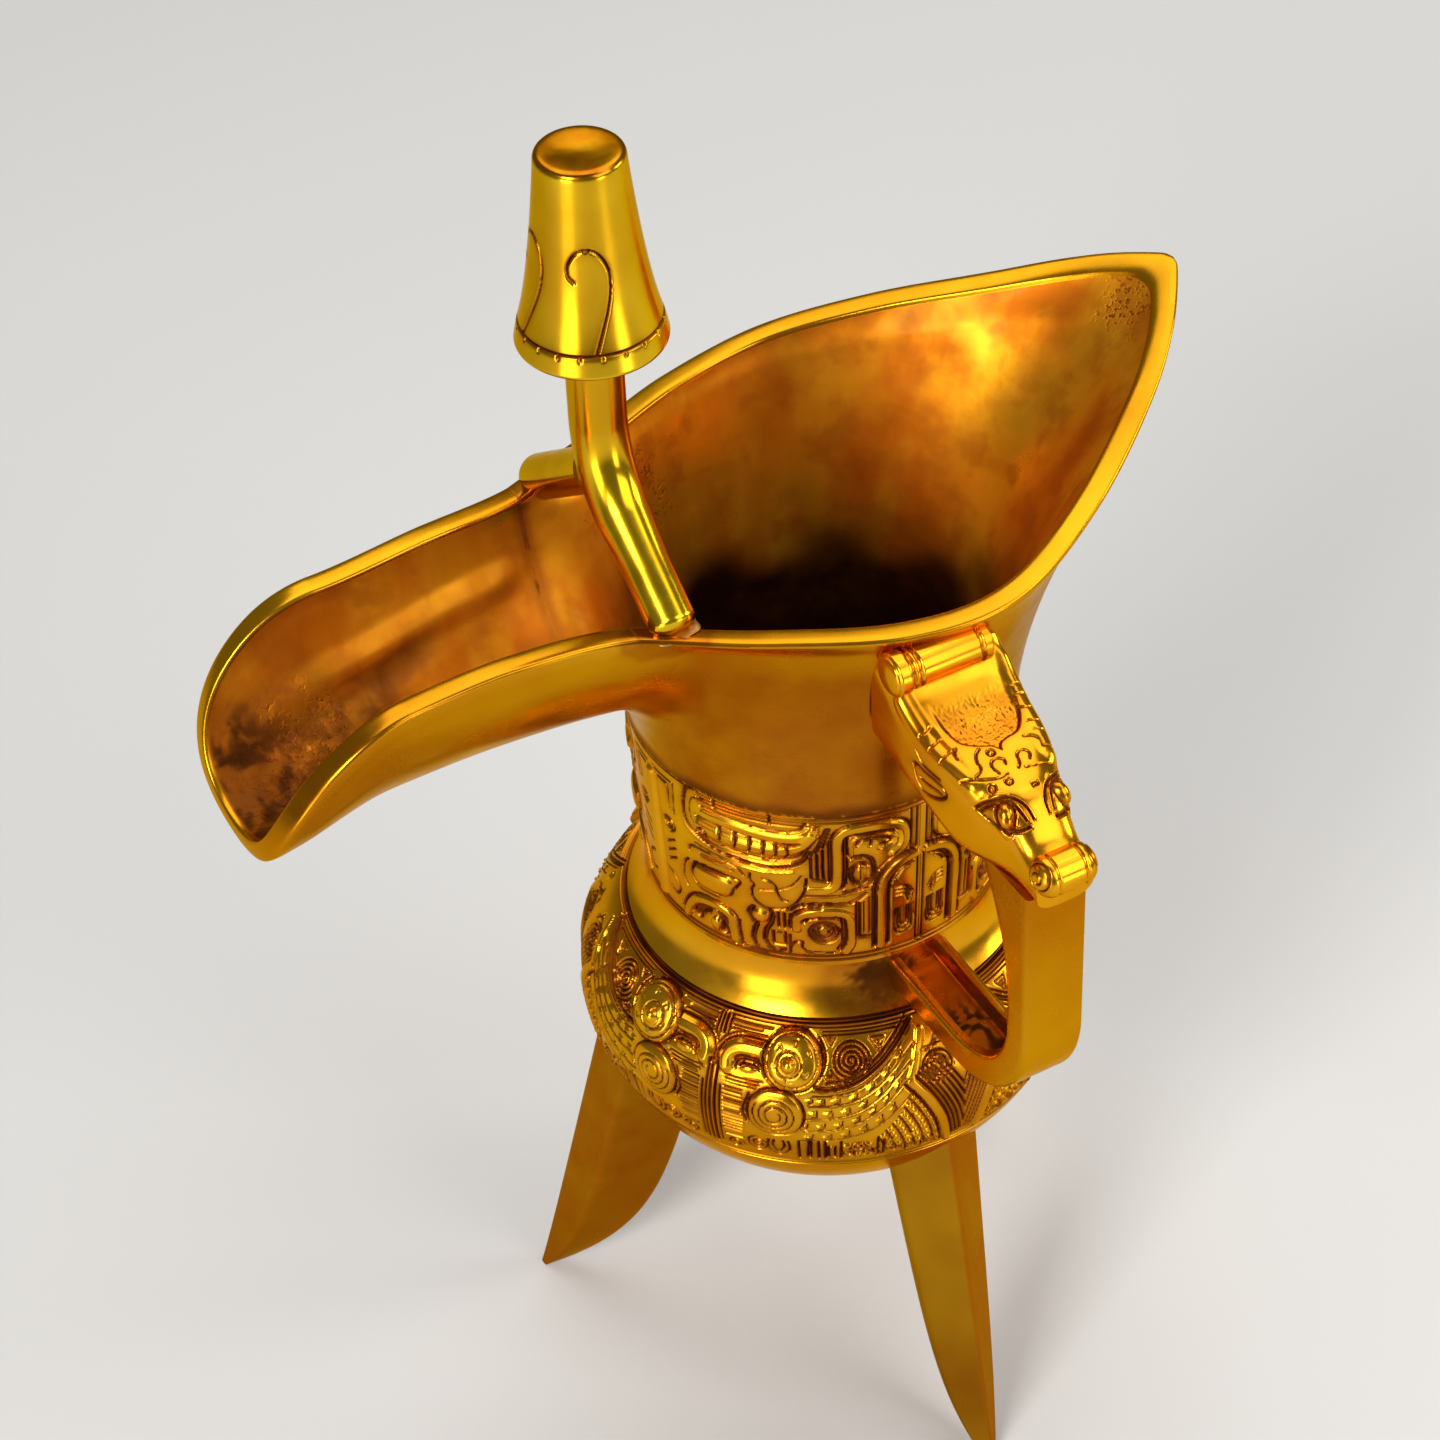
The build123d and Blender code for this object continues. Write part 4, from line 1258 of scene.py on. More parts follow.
@dataclass
class Belly:
    """The round-bottomed bowl: an ellipse below, a flatter ellipse above and a hollow shoulder."""

    radius: float = 37.7
    middle_z: float = 72.65
    drop: float = 31.7
    crown: float = 24.3
    shoulder_angle: float = 36.0
    neck_radius: float = 26.7
    neck_z: float = 95.2
    wall: float = 3.6
    bowl_columns: int = 240
    half_owl_columns: int = 200
    band_rows: int = 145
    first_leg: float = -150.0
    bed: float = 1.0
    band_back: float = 1.5
    arm_root: Place = (-5.8, -26.8, 92.0)

    def profile(self, inset: float) -> Array:
        """Half outline from the bottom to the neck, shrunk by inset, as (radius, height) points."""
        low = np.radians(np.linspace(-90, 0, 90))
        high = np.radians(np.linspace(0, self.shoulder_angle, 40))[1:]
        wide = self.radius - inset
        lower = joined(wide * np.cos(low), self.middle_z + (self.drop - inset) * np.sin(low))
        upper = joined(wide * np.cos(high), self.middle_z + (self.crown - inset) * np.sin(high))
        start = upper[-1]
        slope = unit(upper[-1] - upper[-2])
        end = np.array([self.neck_radius - inset, self.neck_z])
        bend = start + slope * np.linalg.norm(end - start) * 0.55
        shoulder = bezier((tuple(start), tuple(bend), tuple(end)), 24)[1:]
        return np.vstack([lower, upper, shoulder])

    def measured(self) -> tuple[Array, Array, Array]:
        """The outer outline, its outward normals, and the way along it from the widest ring."""
        line = self.profile(0.0)
        way = way_along(line)
        way -= np.interp(self.middle_z, line[:, 1], way)
        slope = unit(np.gradient(line, axis=0))
        return line, joined(slope[:, 1], -slope[:, 0]), way

    @staticmethod
    def turned(line: Array, angle: Array) -> Array:
        """(Radius, height) points turned about the axis to each angle."""
        wide = line[..., 0] if line.ndim == 3 else line[:, :1]
        tall = line[..., 1] if line.ndim == 3 else line[:, 1:]
        return revolved(wide, angle, tall)

    def bowl_sheets(self) -> list[Sheet]:
        """The bowl outside and inside, with a bed for the owl band and a burnt patch at the handle's arm."""
        owl = OwlBand()
        line, normal, way = self.measured()
        bed = ease(owl.low, owl.low + 0.3, way) * ease(owl.high, owl.high - 0.3, way)
        outer = line - normal * (self.bed * bed)[:, None]
        inner = self.profile(self.wall)[::-1]
        angle = angles(self.bowl_columns)
        points = self.turned(np.vstack([outer, inner]), angle[None])
        inside = np.zeros(points.shape[:2])
        inside[len(outer) :] = 1.0
        root = np.linalg.norm((points - np.array(self.arm_root)) * np.array([0.8, 1.0, 1.0]), axis=-1)
        burnt = ease(5.0, 2.4, root + crust(points, 1.5, 3.6)) * (1.0 - inside)
        tones = {
            "inside": inside,
            # the whole inner face is painted near black: painted shade inside the hollow bowl; the burnt
            # patch at the arm is a stain
            "soot": np.maximum(inside, 0.75 * burnt),
            "recess": 0.6 * burnt,
            "stain": ease(10.0, 4.0, root) * (1.0 - inside),
        }
        return [Sheet(points, around=True, tones=tones)]

    def band_sheets(self) -> list[list[Sheet]]:
        """Lower and upper carved ring: the outline moved along its normals by the owls' height."""
        owl = OwlBand()
        line, normal, way = self.measured()
        up = np.linspace(owl.low, owl.high, self.band_rows)
        across = owl.axis + (np.arange(self.half_owl_columns) + 0.5) * owl.width / self.half_owl_columns
        patch = Carving(*np.meshgrid(across, up))
        owl.carve(patch)
        height = mirrored(patch.height(), 3)
        tones = {name: mirrored(tone, 3) for name, tone in patch.tones().items()}
        columns = height.shape[1]
        start = math.radians(self.first_leg) + owl.axis / self.radius
        angle = start + (np.arange(columns) + 0.5) * FULL_TURN / columns
        base = np.stack([np.interp(up, way, line[:, k]) for k in range(2)], axis=1)
        out = np.stack([np.interp(up, way, normal[:, k]) for k in range(2)], axis=1)
        middle = self.band_rows // 2
        pieces = []
        for rows in (slice(0, middle + 1), slice(middle, self.band_rows)):
            face = base[rows, None, :] + out[rows, None, :] * height[rows, :, None]
            back = (base - out * self.band_back)[rows][::-12]
            back = np.broadcast_to(back[:, None, :], (len(back), columns, 2))
            points = self.turned(np.concatenate([face, back]), angle[None])
            blank = np.zeros((len(back), columns))
            toned = {name: np.vstack([tone[rows], blank]) for name, tone in tones.items()}
            pieces.append([Sheet(points, around=True, along=True, tones=toned)])
        return pieces


@dataclass
class Legs:
    """Three blade legs with a kite section: a ridge outside, two side edges and a narrow back."""

    foot_radius: float = 48.5
    top_radius: float = 35.3
    top_z: float = 60.0
    depth: float = 17.6
    half_width: float = 8.2
    curve: float = 9.0
    foot_depth: float = 2.4
    foot_half_width: float = 1.1
    ridge_share: float = 0.3
    back_share: float = 0.25
    rounding: float = 0.16
    bend_z: float = 18.0
    end_z: float = 66.0
    let_in: float = 1.5
    belly: Belly = field(default_factory=Belly)

    def sheets(self, angle: float) -> list[Sheet]:
        """One leg: each level's kite has its corners rounded, and its top is let into the belly.

        One side of each leg, from the ridge on, is painted darker and browner: painted shade.

        Args:
            angle: direction of the leg about the body axis, in degrees.

        Returns:
            The leg's surface and the caps on its two ends.
        """
        foot = np.linspace(0, self.bend_z, 40)
        height = np.concatenate([foot, np.linspace(self.bend_z, self.end_z, 50)[1:]])
        climb = height / self.top_z
        narrowing = 1 - np.exp(-height / self.curve)
        ridge = self.foot_radius + (self.top_radius - self.foot_radius) * climb
        depth = self.foot_depth + (self.depth - self.foot_depth) * narrowing
        half = self.foot_half_width + (self.half_width - self.foot_half_width) * (narrowing + climb) / 2
        side = ridge - self.ridge_share * depth
        back = ridge - depth
        back_half = self.back_share * half
        out = joined(ridge, side, back, back, side)
        aside = joined(0 * ridge, half, back_half, -back_half, -half)
        corners = joined(out, aside)
        before = np.roll(corners, 1, axis=1)
        after = np.roll(corners, -1, axis=1)
        enter = corners + (before - corners) * self.rounding
        leave = corners + (after - corners) * self.rounding
        t = np.linspace(0, 1, 7)[None, None, :, None]
        start, knee, stop = (part[:, :, None] for part in (enter, corners, leave))
        arcs = start * (1 - t) ** 2 + knee * 2 * t * (1 - t) + stop * t**2
        flat_way = np.linspace(0, 1, 9)[None, None, 1:-1, None]
        next_enter = np.roll(enter, -1, axis=1)
        runs = leave[:, :, None] + (next_enter - leave)[:, :, None] * flat_way
        loop = np.concatenate([arcs, runs], axis=2).reshape(len(height), -1, 2)
        reach = np.linalg.norm(loop, axis=2)
        share = np.clip(reach / self.belly.radius, 0, 0.999)
        underside = self.belly.middle_z - self.belly.drop * np.sqrt(1 - share**2)
        z = np.minimum(height[:, None], underside + self.let_in)
        turn = math.radians(angle)
        out, aside = loop[..., 0], loop[..., 1]
        sine, cosine = math.sin(turn), math.cos(turn)
        points = joined(out * cosine - aside * sine, out * sine + aside * cosine, z)
        # painted shade: the faces on one side of the ridge are darker and browner, carried in the stain tone
        shaded_side = ease(-0.4, 0.5, aside) * (0.45 + ripple(points, 0.2, 16.0))
        caps = [fan(points[end], stain=shaded_side[end]) for end in (0, -1)]
        return [Sheet(points, around=True, tones={"stain": shaded_side}), *caps]


@dataclass
class HandleLoop:
    """The strap down from the head and the channelled arm back to the belly's shoulder."""

    half_width: float = 4.8
    thick: float = 5.0
    face_y: float = -62.4
    arm_z: float = 89.6
    corner: float = 19.3
    arch_z: float = 113.0
    arch_in: float = 6.6
    jaw_z: float = 135.6
    arm_end_y: float = -25.0
    channel_half: float = 2.9
    channel_depth: float = 2.2
    channel_end_y: float = -49.5
    corner_round: float = 0.8

    def sheets(self) -> list[Sheet]:
        """A rounded box section carried along the arm, round the corner and up the strap."""
        arm_y = np.linspace(self.arm_end_y, self.face_y + self.corner, 60)
        outer_arm = joined(arm_y, 0 * arm_y + self.arm_z)
        inner_arm = outer_arm + np.array([0.0, self.thick])
        bend = np.radians(np.linspace(-90, -180, 60))[1:]
        middle = np.array([self.face_y + self.corner, self.arm_z + self.corner])
        ring = joined(np.cos(bend), np.sin(bend))
        strap_z = np.linspace(self.arm_z + self.corner, self.jaw_z + 0.8, 80)[1:]
        rise = np.clip((strap_z - self.arch_z) / (self.jaw_z - self.arch_z), 0, None)
        outer_strap = joined(0 * strap_z + self.face_y, strap_z)
        inner_strap = joined(self.face_y + self.thick + self.arch_in * rise**2, strap_z)
        outer = np.vstack([outer_arm, middle + ring * self.corner, outer_strap])
        inner = np.vstack([inner_arm, middle + ring * (self.corner - self.thick), inner_strap])
        thick = np.linalg.norm(inner - outer, axis=1)[:, None]
        r = self.corner_round
        arc = np.linspace(0, math.pi / 2, 6)[None]
        flat = np.linspace(-1, 1, 41)[None, 1:-1] * (self.half_width - r)
        up = r + np.linspace(0, 1, 9)[None, 1:-1] * (thick - 2 * r)
        wide = np.ones_like(thick)
        edge = self.half_width - r
        a = np.concatenate(
            [
                wide * flat,
                wide * (edge + r * np.sin(arc)),
                0 * up + self.half_width,
                wide * (edge + r * np.cos(arc)),
                -wide * flat,
                wide * (-edge - r * np.sin(arc)),
                0 * up - self.half_width,
                wide * (-edge - r * np.cos(arc)),
            ],
            axis=1,
        )
        b = np.concatenate(
            [
                0 * wide * flat,
                wide * (r - r * np.cos(arc)),
                up,
                thick - r + r * np.sin(arc),
                thick + 0 * flat,
                thick - r + r * np.cos(arc),
                thick - up,
                wide * (r - r * np.sin(arc)),
            ],
            axis=1,
        )
        way = unit(inner - outer)
        y = outer[:, :1] + way[:, :1] * b
        z = outer[:, 1:] + way[:, 1:] * b
        past_end = np.minimum(y - self.channel_end_y, 0.0)
        inside = self.channel_half - np.sqrt(a**2 + past_end**2)
        on_top = ease(0.6, 0.95, b / thick) * (z < 100)
        cut = ease(-0.35, 0.45, inside) * on_top
        floor = self.arm_z + self.thick - self.channel_depth
        z = z * (1 - cut) + np.minimum(z, floor) * cut
        points = joined(a, y, z)
        joint = ease(-31.5, -27.5, y)
        scorch = ease(-0.3, 0.4, crust(points, 1.0, 5.0)) * ease(-35.0, -41.0, y)
        tones = {
            "recess": cut * (0.1 + 0.8 * scorch) + 0.5 * joint * (1.0 - cut),
            "soot": 0.85 * cut * scorch,
            "stain": 0.6 * cut,
        }
        return [Sheet(points, around=True, tones=tones), fan(points[0]), fan(points[-1])]


@dataclass
class BeastHead:
    """The beast head on the handle: a tapering block with a root roll and a nose roll.

    Lines are (distance out from the body axis, size) points.
    """

    top_line: Points = (
        (30.0, 158.0), (34.0, 156.2), (38.0, 153.0), (42.0, 150.9), (47.0, 150.1), (51.0, 149.6),
        (55.0, 148.7), (58.0, 146.6), (61.0, 143.9), (64.2, 142.6),
    )
    low_line: Points = (
        (30.0, 141.8), (38.0, 140.4), (44.0, 138.6), (49.0, 135.8), (54.0, 135.4), (64.2, 135.7),
    )
    half_line: Points = (
        (30.0, 9.2), (38.0, 9.0), (45.0, 8.5), (51.0, 7.1), (55.0, 5.7), (58.0, 4.9), (61.0, 4.5),
        (64.2, 4.5),
    )
    boxy_line: Points = ((30.0, 6.0), (44.0, 6.0), (51.0, 4.0), (56.0, 3.0), (60.0, 2.8), (64.2, 3.2))
    rows: int = 230
    columns: int = 380
    nose: Spot = (-63.5, 141.0)
    nose_radius: float = 2.95
    nose_half: float = 2.5
    nose_bulge: float = 2.2
    volute: Spot = (-0.5, 0.6)
    roll: Spot = (-34.6, 157.3)
    roll_radius: float = 2.9
    roll_ends: Spot = (-9.0, 5.4)
    roll_bulge: float = 0.8
    roll_columns: int = 96
    panel_fade: Spot = (37.5, 43.0)
    panel_depth: float = 0.45
    panel_slope: float = 0.45
    stipple_seed: int = 7
    stipples: int = 900
    stipple_height: float = 0.05
    horn_height: float = 0.5
    horn_cuts: tuple[float, ...] = (40.4, 42.6, 45.0, 39.0, 46.6)

    def form(self) -> Array:
        """Sections along the head: each a superellipse between its top, its underside and its sides.

        The root follows the middle of the leaning wall, so that it never shows inside the mouth.
        """
        out = np.linspace(30.0, 64.2, self.rows)
        lines = (self.top_line, self.low_line, self.half_line, self.boxy_line)
        top, low, half, power = (UpperBody.along(line, out)[:, None] for line in lines)
        turn = (np.arange(self.columns) + 0.5) / self.columns * FULL_TURN
        sine, cosine = np.sin(turn)[None], np.cos(turn)[None]
        size = (np.abs(sine) ** power + np.abs(cosine) ** power) ** (-1.0 / power)
        x = -half * sine * size
        z = (top + low) / 2 + (top - low) / 2 * cosine * size
        rise = z - 150.0
        root = 29.4 + 0.125 * x + 0.24 * rise + 0.0042 * rise**2
        y = out[:, None] + np.maximum(root - out[0], 0.0) * ease(36.0, 30.0, out)[:, None]
        return joined(x, -y, z)

    @staticmethod
    def across(points: Array) -> Array:
        """Way around each section from its top centre, positive towards the spout side."""
        steps = np.linalg.norm(np.diff(points, axis=1), axis=2)
        way = np.concatenate([np.zeros((len(points), 1)), np.cumsum(steps, axis=1)], axis=1)
        half_gap = np.linalg.norm(points[:, :1] - points[:, -1:], axis=2) / 2
        total = way[:, -1:] + 2 * half_gap
        return np.where(way + half_gap > total / 2, way + half_gap - total, way + half_gap)

    def carve(self, patch: Carving) -> Array:
        """Draw panel, horns, curls, eyes and ears, and give the panel's share at each point."""
        panel = self.panel(patch)
        for side in (1.0, -1.0):
            self.horn(patch, side)
            self.eye(patch, side)
            self.ear(patch, side)
        self.curls(patch)
        return panel

    def panel(self, patch: Carving) -> Array:
        """The sunk stippled panel, whose lower edge has two lobes and a point between them.

        Args:
            patch: the head's unrolled surface.

        Returns:
            1 on the panel's floor and 0 off the panel, with a slope at its edge.
        """
        edge = np.vstack(
            [
                smooth(
                    (-7.2, 37), (-7.1, 39), (-6.5, 42), (-5.4, 44.5), (-4, 46), (-2.2, 46.4), (-0.9, 46.9),
                    (-0.4, 48.2),
                ),
                smooth(
                    (-0.4, 48.2), (0.6, 46.7), (2.4, 45.8), (4.1, 44.3), (4.8, 42), (5.2, 39.4), (5.5, 37),
                ),
                straight((5.5, 36.6), (-7.2, 36.6), (-7.2, 37)),
            ],
        )
        fade = ease(*self.panel_fade, patch.v)
        share = patch.sink(edge, self.panel_depth, self.panel_slope, fade)
        rng = np.random.default_rng(self.stipple_seed)
        for u, v in rng.uniform((-7, 37.4), (5.4, 47), (self.stipples, 2)):
            size = rng.uniform(0.16, 0.3)
            place = patch.window(np.array([u, v]) - size, np.array([u, v]) + size)
            gap = np.hypot(patch.u[place] - u, patch.v[place] - v)
            patch.raised[place] += self.stipple_height * ease(size, 0.0, gap) * share[place]
        return share / np.maximum(fade, 0.001)

    def horn(self, patch: Carving, side: float) -> None:
        """A rounded horn along the top edge, with curved grooves across it."""
        ridge = smooth((side * 8.3, 36.2), (side * 7.6, 41), (side * 7.1, 45), (side * 6.4, 50.4))
        place, gap = patch.gaps(ridge, 2.0)
        patch.raised[place] = np.maximum(patch.raised[place], self.horn_height * ease(2.0, 0.2, gap))
        for v in self.horn_cuts[: 3 if side > 0 else len(self.horn_cuts)]:
            inner = 6.4 - 0.07 * (v - 39.0)
            middle, outer = side * (inner + 1.0), side * (inner + 2.0)
            patch.draw(FINE, smooth((side * inner, v), (middle, v + 0.4), (outer, v + 0.4)))

    def curls(self, patch: Carving) -> None:
        """Small arcs, curls and dots between the horns and the eyes."""
        for u, v in ((1.8, 52.9), (4.3, 52.6), (1.3, 47.6)):
            patch.boss((u, v), 0.4, 0.4, 0.3, 2.0)
            patch.draw(HAIR, ring((u, v), 0.5))
        patch.draw(
            HAIR,
            smooth((5, 44.7), (5.6, 45.5), (5.8, 46.6)),
            smooth((-5.6, 49.4), (-5.7, 48.3), (-5.1, 47.4), (-4.2, 47.1)),
            smooth((2.3, 46.3), (3.2, 47), (3.8, 48.2), (3.9, 49.3), (4.6, 49.9), (5.6, 50.3)),
            smooth((0.6, 50.2), (0.4, 49.4), (1.1, 48.8), (2, 49), (2.5, 49.9), (2.2, 51.2)),
            smooth(
                (-2.8, 50.8), (-3.3, 50), (-2.9, 49.2), (-2.1, 49.1), (-1.5, 49.7), (-1.2, 50.8),
                (-0.6, 51.5),
            ),
            smooth((1.2, 51.7), (2.6, 51.8), (3.8, 51.4), (5.2, 50.6), (7.2, 49.2)),
            smooth((-1.5, 51.8), (-3.8, 52.1), (-5.4, 52.2)),
            smooth((-7.8, 49.2), (-6.6, 49.6), (-5.6, 49.6)),
            boxed((-1.2, 54.6), 0.4, 0.25),
        )

    def eye(self, patch: Carving, side: float) -> None:
        """An almond eye with two lid lines, a ringed ball and a groove below."""
        upper = ((8.2, 52.1), (6.4, 53), (4.6, 54), (3, 54.8), (2, 55.8), (1.4, 56.8), (1.2, 58.1))
        inner = ((7.7, 52.9), (6.1, 53.7), (4.4, 54.6), (3.1, 55.5), (2.6, 56.6), (2.2, 57.9))
        lower = ((8, 52.8), (7.5, 54.6), (6.2, 56.3), (4.6, 57.8), (3.2, 58.5), (2, 58.7))
        for line in (upper, inner, lower):
            patch.draw(LINE, smooth(*((side * u, v) for u, v in line)))
        ball = (side * 4.7, 56.1)
        patch.boss((side * 5.0, 55.6), 2.4, 2.4, 0.45, 2.0)
        patch.boss(ball, 1.25, 1.25, 1.15, 2.0)
        patch.draw(LINE, ring(ball, 1.5))

    def ear(self, patch: Carving, side: float) -> None:
        """A leaf-shaped ear on the side, outlined twice."""
        leaf = (
            (13.4, 40.3), (15.2, 41.4), (15.4, 43), (14.2, 45.2), (12.6, 46.8), (11.1, 47.3), (10.9, 46),
            (11.6, 43.6), (12.3, 41.2), (13.4, 40.3),
        )
        vein = ((13.8, 42), (13.4, 43.4), (12.7, 45.1), (12.2, 46.4))
        root = ((10.2, 40.9), (10.8, 42.2), (10.6, 44), (10.1, 46))
        patch.draw(LINE, *(smooth(*((side * u, v) for u, v in line)) for line in (leaf, vein, root)))

    def sheets(self) -> list[Sheet]:
        """The carved block with both ends closed."""
        base = self.form()
        patch = Carving(self.across(base), -base[..., 1])
        bare = self.carve(patch)
        points = base + Sheet(base, around=True).normals() * patch.height()[..., None]
        tones = patch.tones()
        tones["recess"] = tones["recess"] * (1.0 - ease(0.6, 0.95, bare))
        tones["stain"] = tones["stain"] * (1.0 - 0.6 * bare)
        return [Sheet(points, around=True, tones=tones), fan(points[0]), fan(points[-1])]

    def roll_sheets(self, centre: Spot, line: Array, bulge: float, volute: float) -> list[Sheet]:
        """A bar across the head: a profile turned about its own axis, with domed ends.

        Args:
            centre: (y, z) of its axis.
            line: (x, radius) points of its side, from end to end.
            bulge: height of the domes on its ends.
            volute: outer radius of the spirals on the domes, or 0 for plain ends.

        Returns:
            The side and the two ends.
        """
        angle = angles(self.roll_columns)
        wheel = joined(0 * angle, np.cos(angle), np.sin(angle))
        middle = np.array([0.0, *centre])
        side = middle + line[:, :1, None] * np.array([1.0, 0.0, 0.0]) + line[:, 1:, None] * wheel[None]
        sheets = [Sheet(side, around=True)]
        for end, way in ((0, -1.0), (-1, 1.0)):
            x, radius = line[end]
            reach = np.sin(np.linspace(1.0, 0.0, 48) * math.pi / 2)[:, None] * radius
            patch = Carving(reach * np.cos(angle), reach * np.sin(angle))
            if volute:
                patch.draw(HAIR, spiral(self.volute, volute, 1.05, 1.75, 20.0))
            dome = bulge * np.sqrt(np.clip(1.0 - (reach / radius) ** 2, 0.0, 1.0))
            disc = middle + reach[..., None] * wheel[None]
            disc[..., 0] = x + way * (dome + patch.height() * ease(radius, 0.95 * radius, reach))
            sheets.append(Sheet(disc, around=True, tones=patch.tones()))
        return sheets

    def root_roll(self) -> list[Sheet]:
        """The bar against the wall, with a barrel bead at its spout end and grooves near both ends."""
        x = np.linspace(*self.roll_ends, 160)
        bead = 0.3 * ease(-6.4, -7.4, x) - 0.5 * ease(-8.6, -9.2, x)
        grooves = sum(0.4 * ease(0.45, 0.0, np.abs(x - place)) for place in (-6.6, -5.5, 4.0))
        line = joined(x, self.roll_radius + bead - grooves)
        return self.roll_sheets(self.roll, line, self.roll_bulge, 0.0)

    def nose_roll(self) -> list[Sheet]:
        """The bar of the nose, with a groove near each end and volutes on its domed ends."""
        x = np.linspace(-self.nose_half, self.nose_half, 120)
        grooves = 0.3 * ease(0.35, 0.0, np.abs(np.abs(x) - self.nose_half + 0.4))
        line = joined(x, self.nose_radius - grooves)
        return self.roll_sheets(self.nose, line, self.nose_bulge, 2.2)


@dataclass
class Post:
    """The forked post over the spout: a bent rod, a far leg and a bell-shaped cap."""

    x: float = -32.55
    stem_radius: float = 3.9
    fork_radius: float = 3.3
    fork_z: float = 179.2
    foot_y: float = 19.83
    foot_z: float = 164.15
    stem_top_z: float = 217.0
    foot_short: float = 0.3
    foot_round: float = 1.8
    solder_size: Place = (3.9, 2.3, 0.6)
    solder_in: float = 1.1
    solder_lift: float = 0.1
    solder_columns: int = 72
    cap_z: float = 201.1
    cap_profile: Points = ((9.7, 203.7), (7.6, 210.6), (6.0, 228.5))
    cap_radius: float = 10.15
    cap_top_z: float = 229.6
    bevel: float = 1.1
    tube_columns: int = 64
    cap_columns: int = 360
    degree: float = 0.14
    ring_z: float = 204.4
    tick_step: float = 18.0
    hooks: int = 5
    hook_start: float = -113.0
    hook: Points = (
        (0.0, 204.4), (8.0, 207.9), (14.0, 210.4), (18.5, 213.0), (19.0, 215.8), (11.4, 218.0),
        (-0.6, 219.0), (-14.4, 218.6), (-23.0, 216.9), (-22.4, 215.3), (-16.5, 214.5),
    )

    def tube(self, path: Array, radius: Array) -> Sheet:
        """Rings about a path in the plane across the vessel.

        Args:
            path: (y, z) points.
            radius: the radius at each point.

        Returns:
            The tube's surface.
        """
        slope = unit(np.gradient(path, axis=0))
        side = joined(-slope[:, 1], slope[:, 0])
        angle = angles(self.tube_columns)
        wide = radius[:, None]
        y, z = (path[:, k : k + 1] + side[:, k : k + 1] * wide * np.sin(angle) for k in range(2))
        return Sheet(joined(self.x + wide * np.cos(angle), y, z), around=True)

    def rounded(self, path: Array, radius: Array) -> Array:
        """Radii drawn in as a quarter ellipse at the foot, where a path starts."""
        share = np.clip(1.0 - way_along(path) / self.foot_round, 0.0, 0.97)
        return radius * np.sqrt(1.0 - share**2)

    @staticmethod
    def capped(sheet: Sheet) -> list[Sheet]:
        """The tube with its two ends closed."""
        return [sheet, fan(sheet.points[0]), fan(sheet.points[-1])]

    def rod_sheets(self) -> list[Sheet]:
        """Near leg and stem in one, with a smooth bend at the fork."""
        leg = np.array([-self.foot_y, self.foot_z])
        fork = np.array([0.0, self.fork_z])
        way = unit(leg - fork)
        low = np.linspace(leg - way * self.foot_short, fork + way * 8.0, 70)
        turn = bezier((tuple(fork + way * 8.0), tuple(fork + way * 0.5), (0.0, self.fork_z + 8.0)), 40)[1:]
        stem = np.linspace(turn[-1], [0.0, self.stem_top_z], 40)[1:]
        path = np.vstack([low, turn, stem])
        share = ease(0.25, 0.6, np.linspace(0, 1, len(path)))
        radius = self.fork_radius + (self.stem_radius - self.fork_radius) * share
        return self.capped(self.tube(path, self.rounded(path, radius)))

    def far_leg_sheets(self) -> list[Sheet]:
        """The short straight leg from the fork to the far rim."""
        foot = np.array([self.foot_y, self.foot_z])
        fork = np.array([0.0, self.fork_z])
        path = np.linspace(foot + unit(foot - fork) * 1.0, fork + unit(foot - fork) * 2.0, 60)
        radius = self.rounded(path, np.full(len(path), self.fork_radius))
        return self.capped(self.tube(path, radius))

    def solder_sheets(self, side: float) -> list[Sheet]:
        """A lumpy bead of solder at a foot: an ellipsoid whose radius sways with direction.

        Args:
            side: -1 at the near rim and 1 at the far rim.

        Returns:
            The bead.
        """
        lift = np.radians(np.linspace(-90.0, 90.0, 40))[:, None]
        turn = angles(self.solder_columns)[None]
        ball = revolved(np.cos(lift), turn, np.sin(lift))
        sway = 1.0 + ripple(ball, 0.16, 1.3)[..., None]
        size = np.array(self.solder_size)
        place = np.array([self.x, side * (self.foot_y - self.solder_in), self.foot_z + self.solder_lift])
        return [Sheet(place + ball * size * sway, around=True)]

    def cap_sheets(self) -> list[Sheet]:
        """Bell profile turned about the stem, with a ring groove and five hooked lines."""
        bell = bezier(self.cap_profile, 130)
        top = self.cap_profile[-1][0]
        foot = self.cap_radius
        lip = bezier(((foot - 0.3, self.cap_z), (foot, self.cap_z), (foot, self.cap_z + 0.4)), 6)
        brim = np.linspace(lip[-1], bell[0], 12)[1:-1]
        flat_edge = top - self.bevel
        turned_in = ((top, bell[-1, 1]), (top - 0.05, self.cap_top_z), (flat_edge, self.cap_top_z))
        crown = bezier(turned_in, 8)[1:]
        inward = np.linspace(flat_edge, 0.0, 20)[1:]
        flat = joined(inward, self.cap_top_z - 0.25 * ease(flat_edge, 0.0, inward))
        line = np.vstack([[[self.stem_radius, self.cap_z]], lip, brim, bell, crown, flat])
        angle = angles(self.cap_columns)
        turn, z = np.meshgrid(np.degrees(angle), line[:, 1])
        patch = Carving(turn * self.degree, z)
        patch.draw(LINE, straight((-1.0, self.ring_z), (361.0 * self.degree, self.ring_z)))
        for foot_angle in self.hook_start + np.arange(-2, self.hooks + 1) * 360.0 / self.hooks:
            patch.draw(LINE, smooth(*(((foot_angle + a) * self.degree, v) for a, v in self.hook)))
        for tick in np.arange(0.0, 360.0, self.tick_step) * self.degree:
            patch.draw(HAIR, straight((tick, self.ring_z), (tick, self.ring_z - 0.7)))
        reach = np.maximum(line[:, :1] + patch.height() * (line[:, :1] > top), 0.0)
        points = joined(self.x + reach * np.cos(angle), reach * np.sin(angle), z)
        tones = patch.tones()
